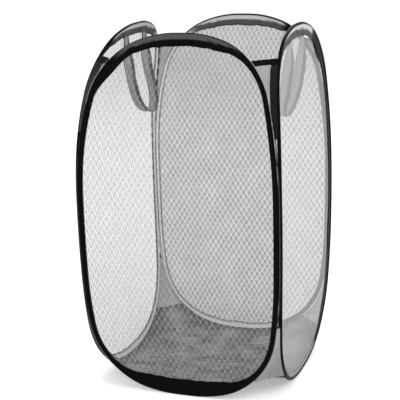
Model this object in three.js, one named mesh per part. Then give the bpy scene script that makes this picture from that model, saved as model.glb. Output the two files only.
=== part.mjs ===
// Pop up laundry hamper. Four net panels, each on a sprung wire loop in a fabric sleeve, are sewn
// together along their upright edges. Triangular gussets close the corners above and below the
// seams, a loose sheet makes the floor, and two webbing handles hang inside the side panels.
// Millimetres, +Z up, front panel at -Y, origin on the ground under the middle of the hamper.
import * as THREE from "three";

// Overall size
const height = 610;
const planWidth = 355.6; // 14 inches
const bow = 12; // how far the ends of a panel lean inwards from its middle
const gap = 0.35; // clearance between pieces that touch

// The loose top stands drawn in sideways, more at the left than at the right
const leftLean = 38; // at the very top of the left panel, towards the middle
const rightLean = 6;
const leanStartShare = 0.56; // height where it begins, as a share of the whole
const leanPower = 2.5; // how late it grows

// Outline of a wire loop: straight side, long easing arc, corner arc, crown arc, short flat
const topEaseShare = 0.267; // rise of the easing arc as a share of the height
const topEaseAngle = 7.2;
const topCornerRadius = 107;
const topCornerAngle = 64.5;
const bottomEaseShare = 0.153;
const bottomEaseAngle = 6;
const bottomCornerRadius = 124;
const bottomCornerAngle = 70;
const crownFlatLength = 24;

// Wire and the ferrule that joins its ends
const wireRadius = 1.4;
const wireEndGap = 1.2;
const ferruleLength = 18;
const ferruleWall = 0.4;

// Binding sleeve: a round channel for the wire and two legs that hold the net
const channelRadius = 3.2;
const sleeveWall = 0.6;
const sideReach = 5; // from the wire's centre to the free edge of the legs, at the sides
const crownReach = 18; // the same at the top and the bottom
const reachPower = 6; // how late along the corner the sleeve widens
const channelRootShare = 1.06; // start of the legs, as a share of the channel radius

// Net
const netThickness = 1;
const meshPitch = 58;
const meshStrand = 7;
const meshStretch = 1.35; // cells are taller than wide by this factor
const meshMargin = 3; // from the sleeve's free edge to the nearest gap
const flatBend = 0.5; // how far the line that gaps are cut back to bends at the crown's flat
const leastTurn = 0.001; // sine of the smallest bend in a net's outline
const smallestGapShare = 0.2; // a cut gap smaller than this share of a whole one is left closed

// Upright seams
const seamGap = 0.4; // between the channels of two neighbouring loops
const seamCordRadius = 1;
const seamTopAngle = 4.8; // the seam ends where the loop has turned this far
const seamBottomAngle = 4;

// Corner gussets
const gussetThickness = 1;
const gussetGap = 0.8; // between a gusset's edge and the channels it is sewn to
const topGussetStartAngle = 4.6;
const topGussetEndAngle = 42;
const bottomGussetStartAngle = 4.6;
const bottomGussetEndAngle = 46;
const gussetSag = 2;
const tapeDrop = 7; // height of the binding tape's legs
const tapeWall = 0.5;

// Floor sheet
const floorThickness = 1;
const floorClearance = 1.2; // lowest point of the floor above the ground
const floorCornerShare = 0.16; // how far along a corner's cut edge the floor's own corners lie

// Handles
const handleWidth = 80; // between the middles of the two arms
const handleDrop = 134;
const handleTwistShare = 0.55; // how far down the webbing has turned on edge, as a share of the drop
const handleHang = 22; // how far the lowest point hangs in from the sewn ends
const webbingWidth = 18;
const webbingThickness = 1.6;
const handleStandoff = 4.2; // from the panel's middle to the handle's pivot line
const patchWidth = 24;
const patchHeight = 9.5;
const patchThickness = 0.8;
const patchCorner = 2;

// Facets
const straightSteps = 3;
const topEaseSteps = 6;
const bottomEaseSteps = 3;
const cornerSteps = 6;
const crownSteps = 2;
const tallestFacetShare = 0.079; // largest rise of one facet of a net, as a share of the height
const tallestLeaningShare = 0.05; // the same where the top is drawn in
const wireSides = 6;
const ferruleSides = 10;
const seamSteps = 12;
const gussetSteps = 9;
const floorRingShares = [0.35, 0.65, 0.85];
const armSteps = 9;
const bendSteps = 10;

// Sizes that follow from the ones above
const degree = Math.PI / 180;
const flatAngle = 30 * degree; // half of the facet that faces away from the loop
const channelFlat = channelRadius * Math.cos(flatAngle);
const panelOffset = planWidth / 2 - channelRadius;
const seamStep = (2 * channelRadius + seamGap) / Math.SQRT2;
const halfLoop = panelOffset - seamStep;
const topCentre = height - channelFlat;
const bottomCentre = channelFlat;
const netInset = channelRadius * channelRootShare + gap;
const ferruleRadius = wireRadius + gap + ferruleWall;
const legInner = netThickness / 2 + gap;
const legOuter = legInner + sleeveWall;
const handleTop = topCentre - crownReach;
const leanStart = leanStartShare * height;

// Middle line of one quarter of a loop, from the end of the straight side to the crown's flat
function quarterLoop(easeShare, easeAngle, cornerRadius, cornerAngle, easeSteps) {
  const easeEnd = easeAngle * degree;
  const cornerEnd = easeEnd + cornerAngle * degree;
  const easeRadius = (easeShare * height) / Math.sin(easeEnd);
  const easeInset = easeRadius * (1 - Math.cos(easeEnd));
  const cornerInset = cornerRadius * (Math.cos(easeEnd) - Math.cos(cornerEnd));
  const crownRadius = (halfLoop - crownFlatLength / 2 - easeInset - cornerInset) / Math.cos(cornerEnd);
  const stations = [{ u: halfLoop, rise: 0, angle: 0 }];
  const addArc = (radius, endAngle, steps) => {
    const start = stations[stations.length - 1];
    for (let i = 1; i <= steps; i++) {
      const angle = start.angle + ((endAngle - start.angle) * i) / steps;
      const u = start.u - radius * (Math.cos(start.angle) - Math.cos(angle));
      const rise = start.rise + radius * (Math.sin(angle) - Math.sin(start.angle));
      stations.push({ u, rise, angle });
    }
  };
  addArc(easeRadius, easeEnd, easeSteps);
  addArc(cornerRadius, cornerEnd, cornerSteps);
  addArc(crownRadius, Math.PI / 2, crownSteps);
  const rise = stations[stations.length - 1].rise;
  return { stations, rise, easeRadius, easeEnd, cornerRadius, easeInset };
}

const topQuarter = quarterLoop(topEaseShare, topEaseAngle, topCornerRadius, topCornerAngle, topEaseSteps);
const bottomQuarter = quarterLoop(
  bottomEaseShare,
  bottomEaseAngle,
  bottomCornerRadius,
  bottomCornerAngle,
  bottomEaseSteps,
);
const sideTop = topCentre - topQuarter.rise;
const sideBottom = bottomCentre + bottomQuarter.rise;

// Place on a quarter's easing or corner arc at a given angle in degrees
function placeOnQuarter(quarter, angleDegrees) {
  const angle = angleDegrees * degree;
  const onEase = Math.min(angle, quarter.easeEnd);
  let inset = quarter.easeRadius * (1 - Math.cos(onEase));
  let rise = quarter.easeRadius * Math.sin(onEase);
  if (angle > quarter.easeEnd) {
    inset += quarter.cornerRadius * (Math.cos(quarter.easeEnd) - Math.cos(angle));
    rise += quarter.cornerRadius * (Math.sin(angle) - Math.sin(quarter.easeEnd));
  }
  return { u: halfLoop - inset, rise, angle };
}

const atTop = (p) => ({ u: p.u, z: sideTop + p.rise, angle: p.angle });
const atBottom = (p) => ({ u: p.u, z: sideBottom - p.rise, angle: -p.angle });
const mirrored = (s) => ({ u: -s.u, z: s.z, angle: Math.PI - s.angle });

// Stations round a whole loop, starting right of the bottom's middle and running up the right side
function loopStations() {
  const bottomRight = bottomQuarter.stations.map(atBottom).reverse();
  const straight = [];
  for (let i = 1; i < straightSteps; i++) {
    straight.push({ u: halfLoop, z: sideBottom + ((sideTop - sideBottom) * i) / straightSteps, angle: 0 });
  }
  const topRight = topQuarter.stations.map(atTop);
  const rightHalf = [...bottomRight, ...straight, ...topRight];
  return [...rightHalf, ...rightHalf.map(mirrored).reverse()];
}

const stations = loopStations();

// How far a panel leans inwards at a height
function lean(z) {
  return bow * ((2 * z) / height - 1) ** 2;
}

// Carries a point of the flat panel (u along it, n outwards, z up) to the bowed front panel
function onPanel(u, n, z) {
  const shift = lean(z);
  return new THREE.Vector3(u * (1 - shift / halfLoop), -(panelOffset + n - shift), z);
}

// The same from a station, an outward distance in the loop's plane and a distance from that plane
function fromStation(station, out, n) {
  return onPanel(station.u + out * Math.cos(station.angle), n, station.z + out * Math.sin(station.angle));
}

// How far the loose top is drawn to the right at a place
function drawnIn(x, z) {
  const rise = Math.max(z - leanStart, 0) / (height - leanStart);
  const across = x / planWidth + 1 / 2;
  return rise ** leanPower * (leftLean * (1 - across) - rightLean * across);
}

// Turns a piece that was built at the front to its side and draws its top in
function placed(geometry, turns) {
  geometry.rotateZ((turns * Math.PI) / 2);
  const position = geometry.getAttribute("position");
  for (let i = 0; i < position.count; i++) {
    const x = position.getX(i);
    position.setX(i, x + drawnIn(x, position.getZ(i)));
  }
  geometry.computeVertexNormals();
  return geometry;
}

const upAxis = new THREE.Vector3(0, 0, 1);
const quarterTurns = { front: 0, right: 1, back: 2, left: 3 };
const turned = (point, turns) => point.clone().applyAxisAngle(upAxis, (turns * Math.PI) / 2);

// Makes a closed geometry from points and triangles, with its faces turned outwards
function closedGeometry(points, faces) {
  let volume = 0;
  for (const [a, b, c] of faces) {
    volume += points[a].dot(new THREE.Vector3().crossVectors(points[b], points[c]));
  }
  const outward = volume > 0 ? faces : faces.map(([a, b, c]) => [a, c, b]);
  const geometry = new THREE.BufferGeometry();
  geometry.setAttribute("position", new THREE.Float32BufferAttribute(points.flatMap((p) => p.toArray()), 3));
  geometry.setIndex(outward.flat());
  geometry.computeVertexNormals();
  return geometry;
}

// Skins rings of points into a solid: a closed loop, or a bar with its two ends capped
function loft(rings, capContour) {
  const size = rings[0].length;
  const spans = capContour ? rings.length - 1 : rings.length;
  const faces = [];
  for (let i = 0; i < spans; i++) {
    const here = i * size;
    const next = ((i + 1) % rings.length) * size;
    for (let j = 0; j < size; j++) {
      const k = (j + 1) % size;
      faces.push([here + j, next + j, next + k], [here + j, next + k, here + k]);
    }
  }
  if (capContour) {
    const last = (rings.length - 1) * size;
    for (const triangle of THREE.ShapeUtils.triangulateShape(capContour, [])) {
      const [a, b, c] = THREE.ShapeUtils.isClockWise(capContour) ? triangle : [...triangle].reverse();
      faces.push([a, c, b], [last + a, last + b, last + c]);
    }
  }
  return closedGeometry(rings.flat(), faces);
}

// Closed solid from a grid of points and a second grid that lies under it
function slab(upper, lower) {
  const rows = upper.length;
  const columns = upper[0].length;
  const points = [...upper.flat(), ...lower.flat()];
  const under = rows * columns;
  const at = (i, j) => i * columns + j;
  const faces = [];
  for (let i = 0; i + 1 < rows; i++) {
    for (let j = 0; j + 1 < columns; j++) {
      const [a, b, c, d] = [at(i, j), at(i, j + 1), at(i + 1, j + 1), at(i + 1, j)];
      faces.push([a, b, c], [a, c, d], [under + a, under + c, under + b], [under + a, under + d, under + c]);
    }
  }
  const rim = [];
  for (let j = 0; j + 1 < columns; j++) rim.push([at(0, j + 1), at(0, j)]);
  for (let i = 0; i + 1 < rows; i++) rim.push([at(i, 0), at(i + 1, 0)]);
  for (let j = 0; j + 1 < columns; j++) rim.push([at(rows - 1, j), at(rows - 1, j + 1)]);
  for (let i = rows - 1; i > 0; i--) rim.push([at(i, columns - 1), at(i - 1, columns - 1)]);
  for (const [a, b] of rim) faces.push([a, b, under + b], [a, under + b, under + a]);
  return closedGeometry(points, faces);
}

// Wire: a hexagonal bar that follows the loop, its ends meeting at the middle of the bottom
function wireGeometry() {
  const contour = [];
  for (let i = 0; i < wireSides; i++) {
    const angle = (i / wireSides) * 2 * Math.PI;
    contour.push(new THREE.Vector2(wireRadius * Math.cos(angle), wireRadius * Math.sin(angle)));
  }
  const bottom = -Math.PI / 2;
  const start = { u: wireEndGap / 2, z: bottomCentre, angle: bottom };
  const end = { u: -wireEndGap / 2, z: bottomCentre, angle: 2 * Math.PI + bottom };
  const path = [start, ...stations, end];
  return loft(path.map((s) => contour.map((p) => fromStation(s, p.x, p.y))), contour);
}

// Ferrule: a crimped tube round the two ends of the wire
function ferruleGeometry() {
  const inner = wireRadius + gap;
  const half = ferruleLength / 2;
  const profile = [
    new THREE.Vector2(inner, -half),
    new THREE.Vector2(ferruleRadius, -half),
    new THREE.Vector2(ferruleRadius, half),
    new THREE.Vector2(inner, half),
    new THREE.Vector2(inner, -half),
  ];
  const geometry = new THREE.LatheGeometry(profile, ferruleSides);
  geometry.rotateZ(Math.PI / 2);
  const centre = onPanel(0, 0, bottomCentre);
  geometry.translate(centre.x, centre.y, centre.z);
  return geometry;
}

// Width of the sleeve's legs, narrow along the sides and wide over the top and under the bottom
function reachAt(angle) {
  return sideReach + (crownReach - sideReach) * Math.abs(Math.sin(angle)) ** reachPower;
}

// Section of the sleeve as pairs of outward distance and distance from the loop's plane
function sleeveSection(reach) {
  const half = (radius, leg) => [
    [-reach, leg],
    [-radius * channelRootShare, leg],
    [0, radius],
    [radius * Math.cos(flatAngle), radius * Math.sin(flatAngle)],
  ];
  const outer = half(channelRadius, legOuter);
  const inner = half(channelRadius - sleeveWall, legInner);
  const across = (side) => [...side, ...side.map(([out, n]) => [out, -n]).reverse()];
  return [...across(outer), ...across(inner).reverse()];
}

function sleeveGeometry() {
  const ring = (s) => sleeveSection(reachAt(s.angle)).map(([out, n]) => fromStation(s, out, n));
  return loft(stations.map(ring));
}

// Outline of a loop moved inwards by a distance that may change along it
function insetOutline(insetOf) {
  return stations.map((s) => {
    const inset = insetOf(s.angle);
    return new THREE.Vector2(s.u - inset * Math.cos(s.angle), s.z - inset * Math.sin(s.angle));
  });
}

// Cuts a polygon back to the inside of a convex outline that runs anticlockwise
function clipped(polygon, outline) {
  let kept = polygon;
  outline.forEach((a, i) => {
    const along = outline[(i + 1) % outline.length].clone().sub(a);
    const side = (p) => along.cross(p.clone().sub(a));
    const from = kept;
    kept = [];
    from.forEach((p, k) => {
      const q = from[(k + 1) % from.length];
      if (side(p) >= 0) kept.push(p);
      if (side(p) >= 0 !== side(q) >= 0) kept.push(p.clone().lerp(q, side(p) / (side(p) - side(q))));
    });
  });
  return kept;
}

const sixthTurn = Math.PI / 3;

// One gap of the net: a tall hexagon
function meshGap(centreU, centreZ) {
  const radius = (meshPitch - meshStrand) / 2 / Math.cos(sixthTurn / 2);
  const corners = [];
  for (let angle = sixthTurn / 2; angle < 2 * Math.PI; angle += sixthTurn) {
    const z = centreZ + radius * meshStretch * Math.sin(angle);
    corners.push(new THREE.Vector2(centreU + radius * Math.cos(angle), z));
  }
  return corners;
}

// Drops points of an outline that lie too close to the one before them or where it runs straight on
function thinned(outline) {
  const apart = outline.filter((p, i) => p.distanceTo(outline.at(i - 1)) > gap);
  return apart.filter((p, i) => {
    const before = p.clone().sub(apart.at(i - 1)).normalize();
    const after = apart[(i + 1) % apart.length].clone().sub(p).normalize();
    return Math.abs(before.cross(after)) > leastTurn;
  });
}

// Outline that gaps are cut back to, its flats bent a little so that no two gaps share a line there
function openOutline() {
  const outline = insetOutline((angle) => reachAt(angle) + meshMargin);
  const middle = outline.length / 2;
  outline.splice(middle, 0, new THREE.Vector2(0, outline[middle].y + flatBend));
  outline.push(new THREE.Vector2(0, outline[0].y - flatBend));
  return outline;
}

// Net: a flat sheet with staggered gaps, then bowed like the loop that holds it
function netGeometry() {
  const shape = new THREE.Shape(thinned(insetOutline(() => netInset)));
  const open = openOutline();
  const rowPitch = meshPitch * meshStretch * Math.cos(sixthTurn / 2);
  const smallest = smallestGapShare * THREE.ShapeUtils.area(meshGap(0, 0));
  const rows = Math.ceil(height / rowPitch / 2);
  const columns = Math.ceil(planWidth / meshPitch / 2);
  for (let row = -rows; row <= rows; row++) {
    const stagger = row % 2 === 0 ? 0 : meshPitch / 2;
    for (let column = -columns; column <= columns; column++) {
      const corners = meshGap(column * meshPitch + stagger, height / 2 + row * rowPitch);
      const cut = thinned(clipped(corners, open));
      if (cut.length > 2 && THREE.ShapeUtils.area(cut) > smallest) shape.holes.push(new THREE.Path(cut));
    }
  }
  const flat = new THREE.ExtrudeGeometry(shape, { depth: netThickness, bevelEnabled: false });
  const corners = flat.getAttribute("position");
  const points = [];
  for (let i = 0; i < corners.count; i += 3) {
    const facet = [0, 1, 2].map((k) => new THREE.Vector3().fromBufferAttribute(corners, i + k));
    points.push(...splitTall(facet).flat());
  }
  const bowed = points.map((p) => onPanel(p.x, p.z - netThickness / 2, p.y));
  const geometry = new THREE.BufferGeometry().setFromPoints(bowed);
  geometry.computeVertexNormals();
  return geometry;
}

// Rise of an edge of a net's facet, as a share of the largest that may stay
function riseShare(p, q) {
  const share = Math.max(p.y, q.y) > leanStart ? tallestLeaningShare : tallestFacetShare;
  return Math.abs(p.y - q.y) / (share * height);
}

// Halves a facet until none of its edges rises too far
function splitTall(facet) {
  const shares = facet.map((p, i) => riseShare(p, facet[(i + 1) % facet.length]));
  const i = shares.indexOf(Math.max(...shares));
  if (shares[i] <= 1) return [facet];
  const [a, b, c] = [...facet.slice(i), ...facet.slice(0, i)];
  const middle = a.clone().add(b).multiplyScalar(1 / 2);
  return [...splitTall([a, middle, c]), ...splitTall([middle, b, c])];
}

// A corner of the hamper: the right-hand edge of one panel and the left-hand edge of the next
const cornerOutward = new THREE.Vector3(1, -1, 0).normalize();

// The two channels' edges at a corner, from a place on the loop's right-hand side
function cornerEdges(station, out) {
  return [fromStation(station, out, 0), turned(fromStation(mirrored(station), out, 0), 1)];
}

// Seam cord: lies in the valley between two channels and sinks in where the loops part
function seamGeometry() {
  const top = atTop(placeOnQuarter(topQuarter, seamTopAngle)).z;
  const bottom = atBottom(placeOnQuarter(bottomQuarter, seamBottomAngle)).z;
  const touch = channelRadius + seamCordRadius + gap;
  const contour = [];
  for (let i = 0; i < wireSides; i++) {
    const angle = (i / wireSides) * 2 * Math.PI;
    contour.push(new THREE.Vector2(seamCordRadius * Math.cos(angle), seamCordRadius * Math.sin(angle)));
  }
  const along = new THREE.Vector3(1, 1, 0).normalize();
  const rings = [];
  for (let i = 0; i <= seamSteps; i++) {
    const z = bottom + ((top - bottom) * i) / seamSteps;
    const [first, second] = cornerEdges({ u: sideInset(z), z, angle: 0 }, 0);
    const halfSpan = first.distanceTo(second) / 2;
    const valley = Math.sqrt(Math.max(touch ** 2 - halfSpan ** 2, 0));
    const centre = first.add(second).multiplyScalar(1 / 2).addScaledVector(cornerOutward, valley);
    const carried = (p) => centre.clone().addScaledVector(cornerOutward, p.x).addScaledVector(along, p.y);
    rings.push(contour.map(carried));
  }
  return loft(rings, contour);
}

// Distance of the loop's middle line from its centre at a height along the side
function sideInset(z) {
  const quarter = z > sideTop ? topQuarter : bottomQuarter;
  const rise = z > sideTop ? z - sideTop : Math.max(sideBottom - z, 0);
  return halfLoop - quarter.easeRadius + Math.sqrt(quarter.easeRadius ** 2 - rise ** 2);
}

// Gusset ranges: the quarter of the loop it is sewn to and where on it the gusset starts and ends
const topGusset = { quarter: topQuarter, place: atTop, start: topGussetStartAngle, end: topGussetEndAngle };
const bottomGusset = {
  quarter: bottomQuarter,
  place: atBottom,
  start: bottomGussetStartAngle,
  end: bottomGussetEndAngle,
};

// One row across a gusset from loop to loop, kept clear of the channels, sagging in its middle
function gussetRow(gusset, angle) {
  const share = (angle - gusset.start) / (gusset.end - gusset.start);
  const out = channelRadius + gussetGap + gussetThickness / 2;
  const [first, second] = cornerEdges(gusset.place(placeOnQuarter(gusset.quarter, angle)), out);
  const middle = first.clone().add(second).multiplyScalar(1 / 2);
  return [first, middle.addScaledVector(cornerOutward, -gussetSag * share), second];
}

function gussetGeometry(gusset) {
  const rows = [];
  for (let i = 0; i <= gussetSteps; i++) {
    const angle = gusset.start + ((gusset.end - gusset.start) * i) / gussetSteps;
    rows.push(gussetRow(gusset, angle));
  }
  const half = new THREE.Vector3().copy(cornerOutward).multiplyScalar(gussetThickness / 2);
  const upper = rows.map((row) => row.map((p) => p.clone().add(half)));
  const lower = rows.map((row) => row.map((p) => p.clone().sub(half)));
  return slab(upper, lower);
}

// Binding tape folded over a top gusset's free edge
function gussetTapeGeometry() {
  const inner = gussetThickness / 2 + gap;
  const outer = inner + tapeWall;
  const contour = [
    new THREE.Vector2(-outer, -tapeDrop),
    new THREE.Vector2(-inner, -tapeDrop),
    new THREE.Vector2(-inner, gap),
    new THREE.Vector2(inner, gap),
    new THREE.Vector2(inner, -tapeDrop),
    new THREE.Vector2(outer, -tapeDrop),
    new THREE.Vector2(outer, gap + tapeWall),
    new THREE.Vector2(-outer, gap + tapeWall),
  ];
  const endSine = Math.sin(topGusset.end * degree);
  const rowAt = (rise) => {
    const angle = Math.asin(endSine + Math.min(rise, 0) / topCornerRadius) / degree;
    const [first, middle, second] = gussetRow(topGusset, angle);
    const pulledIn = [first, second].map((end) => end.clone().lerp(middle, outer / end.distanceTo(middle)));
    return [pulledIn[0], middle, pulledIn[1]].map((p) => p.clone().setZ(p.z + Math.max(rise, 0)));
  };
  const rows = contour.map((p) => rowAt(p.y));
  const ring = (column) => contour.map((p, i) => rows[i][column].clone().addScaledVector(cornerOutward, p.x));
  return loft([0, 1, 2].map(ring), contour);
}

// Floor: a dished sheet whose edge follows the loops inside and meets the bottom gussets
function floorGeometry() {
  const edgeStation = atBottom(placeOnQuarter(bottomQuarter, bottomGussetEndAngle));
  const inside = -(channelRadius + gap);
  const along = stations.filter((s) => s.z < sideBottom && s.z < edgeStation.z);
  const ordered = along.sort((a, b) => a.u - b.u);
  const sideEdge = [mirrored(edgeStation), ...ordered, edgeStation].map((s) => fromStation(s, 0, inside));
  const [first, second] = cornerEdges(edgeStation, channelRadius + gap);
  const seat = gussetThickness / 2 + gap + gussetSag;
  const corner = (share) => first.clone().lerp(second, share).addScaledVector(cornerOutward, -seat);
  const outline = [...sideEdge, corner(floorCornerShare), corner(1 - floorCornerShare)];
  const edge = Object.values(quarterTurns).flatMap((turns) => outline.map((p) => turned(p, turns)));
  const lowest = floorClearance + floorThickness;
  const ringAt = (share, drop) =>
    edge.map((p) => new THREE.Vector3(p.x * share, p.y * share, lowest + (p.z - lowest) * share ** 4 - drop));
  const shares = [...floorRingShares, 1];
  const upper = shares.map((share) => ringAt(share, 0));
  const lower = shares.map((share) => ringAt(share, floorThickness));
  const size = edge.length;
  const points = [new THREE.Vector3(0, 0, lowest), new THREE.Vector3(0, 0, floorClearance)];
  points.push(...upper.flat(), ...lower.flat());
  const topAt = (ring, k) => 2 + ring * size + (k % size);
  const underAt = (ring, k) => topAt(ring + shares.length, k);
  const faces = [];
  for (let k = 0; k < size; k++) {
    faces.push([0, topAt(0, k), topAt(0, k + 1)], [1, underAt(0, k + 1), underAt(0, k)]);
    for (let ring = 0; ring + 1 < shares.length; ring++) {
      faces.push([topAt(ring, k), topAt(ring + 1, k), topAt(ring + 1, k + 1)]);
      faces.push([topAt(ring, k), topAt(ring + 1, k + 1), topAt(ring, k + 1)]);
      faces.push([underAt(ring, k), underAt(ring + 1, k + 1), underAt(ring + 1, k)]);
      faces.push([underAt(ring, k), underAt(ring, k + 1), underAt(ring + 1, k + 1)]);
    }
    const rim = shares.length - 1;
    faces.push([topAt(rim, k), underAt(rim, k), underAt(rim, k + 1)]);
    faces.push([topAt(rim, k), underAt(rim, k + 1), topAt(rim, k + 1)]);
  }
  return closedGeometry(points, faces);
}

// Middle line of a handle below its pivot line: down one arm, round the bend and up the other
function handleLine() {
  const bend = handleWidth / 2;
  const arm = handleDrop - bend;
  const line = [];
  for (let i = 0; i < armSteps; i++) line.push([-bend, (-arm * i) / armSteps]);
  for (let i = 0; i <= bendSteps; i++) {
    const angle = Math.PI + (Math.PI * i) / bendSteps;
    line.push([bend * Math.cos(angle), -arm + bend * Math.sin(angle)]);
  }
  for (let i = armSteps - 1; i >= 0; i--) line.push([bend, (-arm * i) / armSteps]);
  return line.map(([u, z]) => new THREE.Vector3(u, handleHang * (z / handleDrop) ** 2, z));
}

// Handle: flat webbing that turns on edge as it goes round the bend
function handleGeometry() {
  const line = handleLine();
  const halfWidth = webbingWidth / 2;
  const halfThickness = webbingThickness / 2;
  const contour = [
    new THREE.Vector2(-halfWidth, -halfThickness),
    new THREE.Vector2(halfWidth, -halfThickness),
    new THREE.Vector2(halfWidth, halfThickness),
    new THREE.Vector2(-halfWidth, halfThickness),
  ];
  const rings = line.map((point, i) => {
    const before = line[Math.max(i - 1, 0)];
    const after = line[Math.min(i + 1, line.length - 1)];
    const tangent = after.clone().sub(before).normalize();
    const twist = (-Math.PI / 2) * THREE.MathUtils.smoothstep(-point.z / handleDrop, 0, handleTwistShare);
    const across = new THREE.Vector3(Math.cos(twist), Math.sin(twist), 0);
    across.addScaledVector(tangent, -across.dot(tangent)).normalize();
    const through = new THREE.Vector3().crossVectors(tangent, across);
    return contour.map((p) => point.clone().addScaledVector(across, p.x).addScaledVector(through, p.y));
  });
  const geometry = loft(rings, contour);
  const pivot = onPanel(0, -handleStandoff, handleTop);
  geometry.translate(pivot.x, pivot.y, pivot.z);
  return geometry;
}

// Patch that sews one end of a handle to the sleeve
function patchGeometry(side) {
  const x = patchWidth / 2 - patchCorner;
  const z = patchHeight / 2 - patchCorner;
  const shape = new THREE.Shape();
  shape.absarc(x, z, patchCorner, 0, Math.PI / 2);
  shape.absarc(-x, z, patchCorner, Math.PI / 2, Math.PI);
  shape.absarc(-x, -z, patchCorner, Math.PI, (3 * Math.PI) / 2);
  shape.absarc(x, -z, patchCorner, (3 * Math.PI) / 2, 2 * Math.PI);
  const options = { depth: patchThickness, bevelEnabled: false, curveSegments: 2 };
  const geometry = new THREE.ExtrudeGeometry(shape, options);
  const position = geometry.getAttribute("position");
  const centreU = (side * handleWidth) / 2;
  const centreZ = handleTop + gap + patchHeight / 2;
  for (let i = 0; i < position.count; i++) {
    const n = -(legOuter + gap) - position.getZ(i);
    const point = onPanel(centreU - position.getX(i), n, centreZ + position.getY(i));
    position.setXYZ(i, point.x, point.y, point.z);
  }
  geometry.computeVertexNormals();
  return geometry;
}

const materials = {
  steel: new THREE.MeshStandardMaterial({ color: 0x17171a, roughness: 0.35, metalness: 0.9 }),
  ferrule: new THREE.MeshStandardMaterial({ color: 0x8f9194, roughness: 0.4, metalness: 1 }),
  sleeve: new THREE.MeshStandardMaterial({ color: 0x141416, roughness: 0.45, metalness: 0 }),
  net: new THREE.MeshStandardMaterial({ color: 0xc9cacb, roughness: 0.8, metalness: 0 }),
  thread: new THREE.MeshStandardMaterial({ color: 0x101012, roughness: 0.8, metalness: 0 }),
  gusset: new THREE.MeshStandardMaterial({ color: 0x9b9c9e, roughness: 0.6, metalness: 0 }),
  floor: new THREE.MeshStandardMaterial({ color: 0x6c6d6f, roughness: 0.65, metalness: 0 }),
  webbing: new THREE.MeshStandardMaterial({ color: 0x55565a, roughness: 0.85, metalness: 0 }),
};

const hamper = new THREE.Group();

function addPiece(parent, name, geometry, material) {
  const mesh = new THREE.Mesh(geometry, material);
  mesh.name = name;
  parent.add(mesh);
}

// One side of the hamper, built as the front and carried to its place
function buildPanel(side) {
  const panel = new THREE.Group();
  const turns = quarterTurns[side];
  addPiece(panel, `${side}_wire_loop`, placed(wireGeometry(), turns), materials.steel);
  addPiece(panel, `${side}_wire_ferrule`, placed(ferruleGeometry(), turns), materials.ferrule);
  addPiece(panel, `${side}_sleeve`, placed(sleeveGeometry(), turns), materials.sleeve);
  addPiece(panel, `${side}_net`, placed(netGeometry(), turns), materials.net);
  return panel;
}

// One upright corner, built at the front right and carried to its place
function buildCorner(name, turns) {
  const corner = new THREE.Group();
  addPiece(corner, `${name}_seam`, placed(seamGeometry(), turns), materials.thread);
  addPiece(corner, `${name}_top_gusset`, placed(gussetGeometry(topGusset), turns), materials.gusset);
  addPiece(corner, `${name}_gusset_tape`, placed(gussetTapeGeometry(), turns), materials.sleeve);
  addPiece(corner, `${name}_bottom_gusset`, placed(gussetGeometry(bottomGusset), turns), materials.gusset);
  return corner;
}

// Handle turned to its side, hanging straight down from where the panel's top is drawn to
function hungHandle(turns) {
  const geometry = handleGeometry();
  geometry.rotateZ((turns * Math.PI) / 2);
  const pivot = turned(onPanel(0, -handleStandoff, handleTop), turns);
  geometry.translate(drawnIn(pivot.x, pivot.z), 0, 0);
  return geometry;
}

// A carrying handle and the two patches that hold it
function buildHandle(side) {
  const handle = new THREE.Group();
  const turns = quarterTurns[side];
  addPiece(handle, `${side}_handle`, hungHandle(turns), materials.webbing);
  addPiece(handle, `${side}_handle_patch_a`, placed(patchGeometry(-1), turns), materials.webbing);
  addPiece(handle, `${side}_handle_patch_b`, placed(patchGeometry(1), turns), materials.webbing);
  return handle;
}

for (const side of Object.keys(quarterTurns)) hamper.add(buildPanel(side));
const corners = ["front_right", "back_right", "back_left", "front_left"];
corners.forEach((name, turns) => hamper.add(buildCorner(name, turns)));
addPiece(hamper, "floor_sheet", floorGeometry(), materials.floor);
for (const side of ["left", "right"]) hamper.add(buildHandle(side));

export default hamper;
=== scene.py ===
"""Pop up laundry hamper: tape, netting, gussets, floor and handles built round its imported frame."""

import logging
import math
from dataclasses import dataclass, field
from enum import Enum
from typing import Optional, Sequence, Union

import bmesh
import bpy
import numpy as np
from mathutils import Matrix, Vector, kdtree


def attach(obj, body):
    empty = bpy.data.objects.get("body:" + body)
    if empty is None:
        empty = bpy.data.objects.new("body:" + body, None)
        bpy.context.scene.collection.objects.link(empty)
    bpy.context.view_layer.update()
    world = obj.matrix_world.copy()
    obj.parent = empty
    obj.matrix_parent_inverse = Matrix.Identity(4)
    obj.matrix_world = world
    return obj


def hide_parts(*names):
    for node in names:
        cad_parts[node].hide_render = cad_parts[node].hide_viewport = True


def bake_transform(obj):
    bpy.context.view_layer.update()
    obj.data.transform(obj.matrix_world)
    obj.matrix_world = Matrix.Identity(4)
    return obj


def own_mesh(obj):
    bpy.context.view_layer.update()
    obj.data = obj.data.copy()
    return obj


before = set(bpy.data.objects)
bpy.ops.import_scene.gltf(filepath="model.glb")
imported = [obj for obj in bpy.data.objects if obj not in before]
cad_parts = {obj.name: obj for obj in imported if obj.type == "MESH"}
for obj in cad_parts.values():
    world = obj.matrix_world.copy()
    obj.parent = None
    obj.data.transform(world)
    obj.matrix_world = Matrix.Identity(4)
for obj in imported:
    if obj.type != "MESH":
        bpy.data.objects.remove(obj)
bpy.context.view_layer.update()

log = logging.getLogger("hamper")

MILLIMETRE = 0.001
Colour = tuple[float, float, float]
Feed = Union["Value", bpy.types.NodeSocket, float, Sequence[float]]


class Side(Enum):
    """One of the four panels, by its quarter turns from the front."""

    FRONT = 0
    RIGHT = 1
    BACK = 2
    LEFT = 3

    @property
    def label(self) -> str:
        """Name of the side as the frame's nodes have it."""
        return self.name.lower()

    @property
    def body(self) -> str:
        """Name of the frame body that the panel is."""
        return f"{self.label}_panel"


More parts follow.
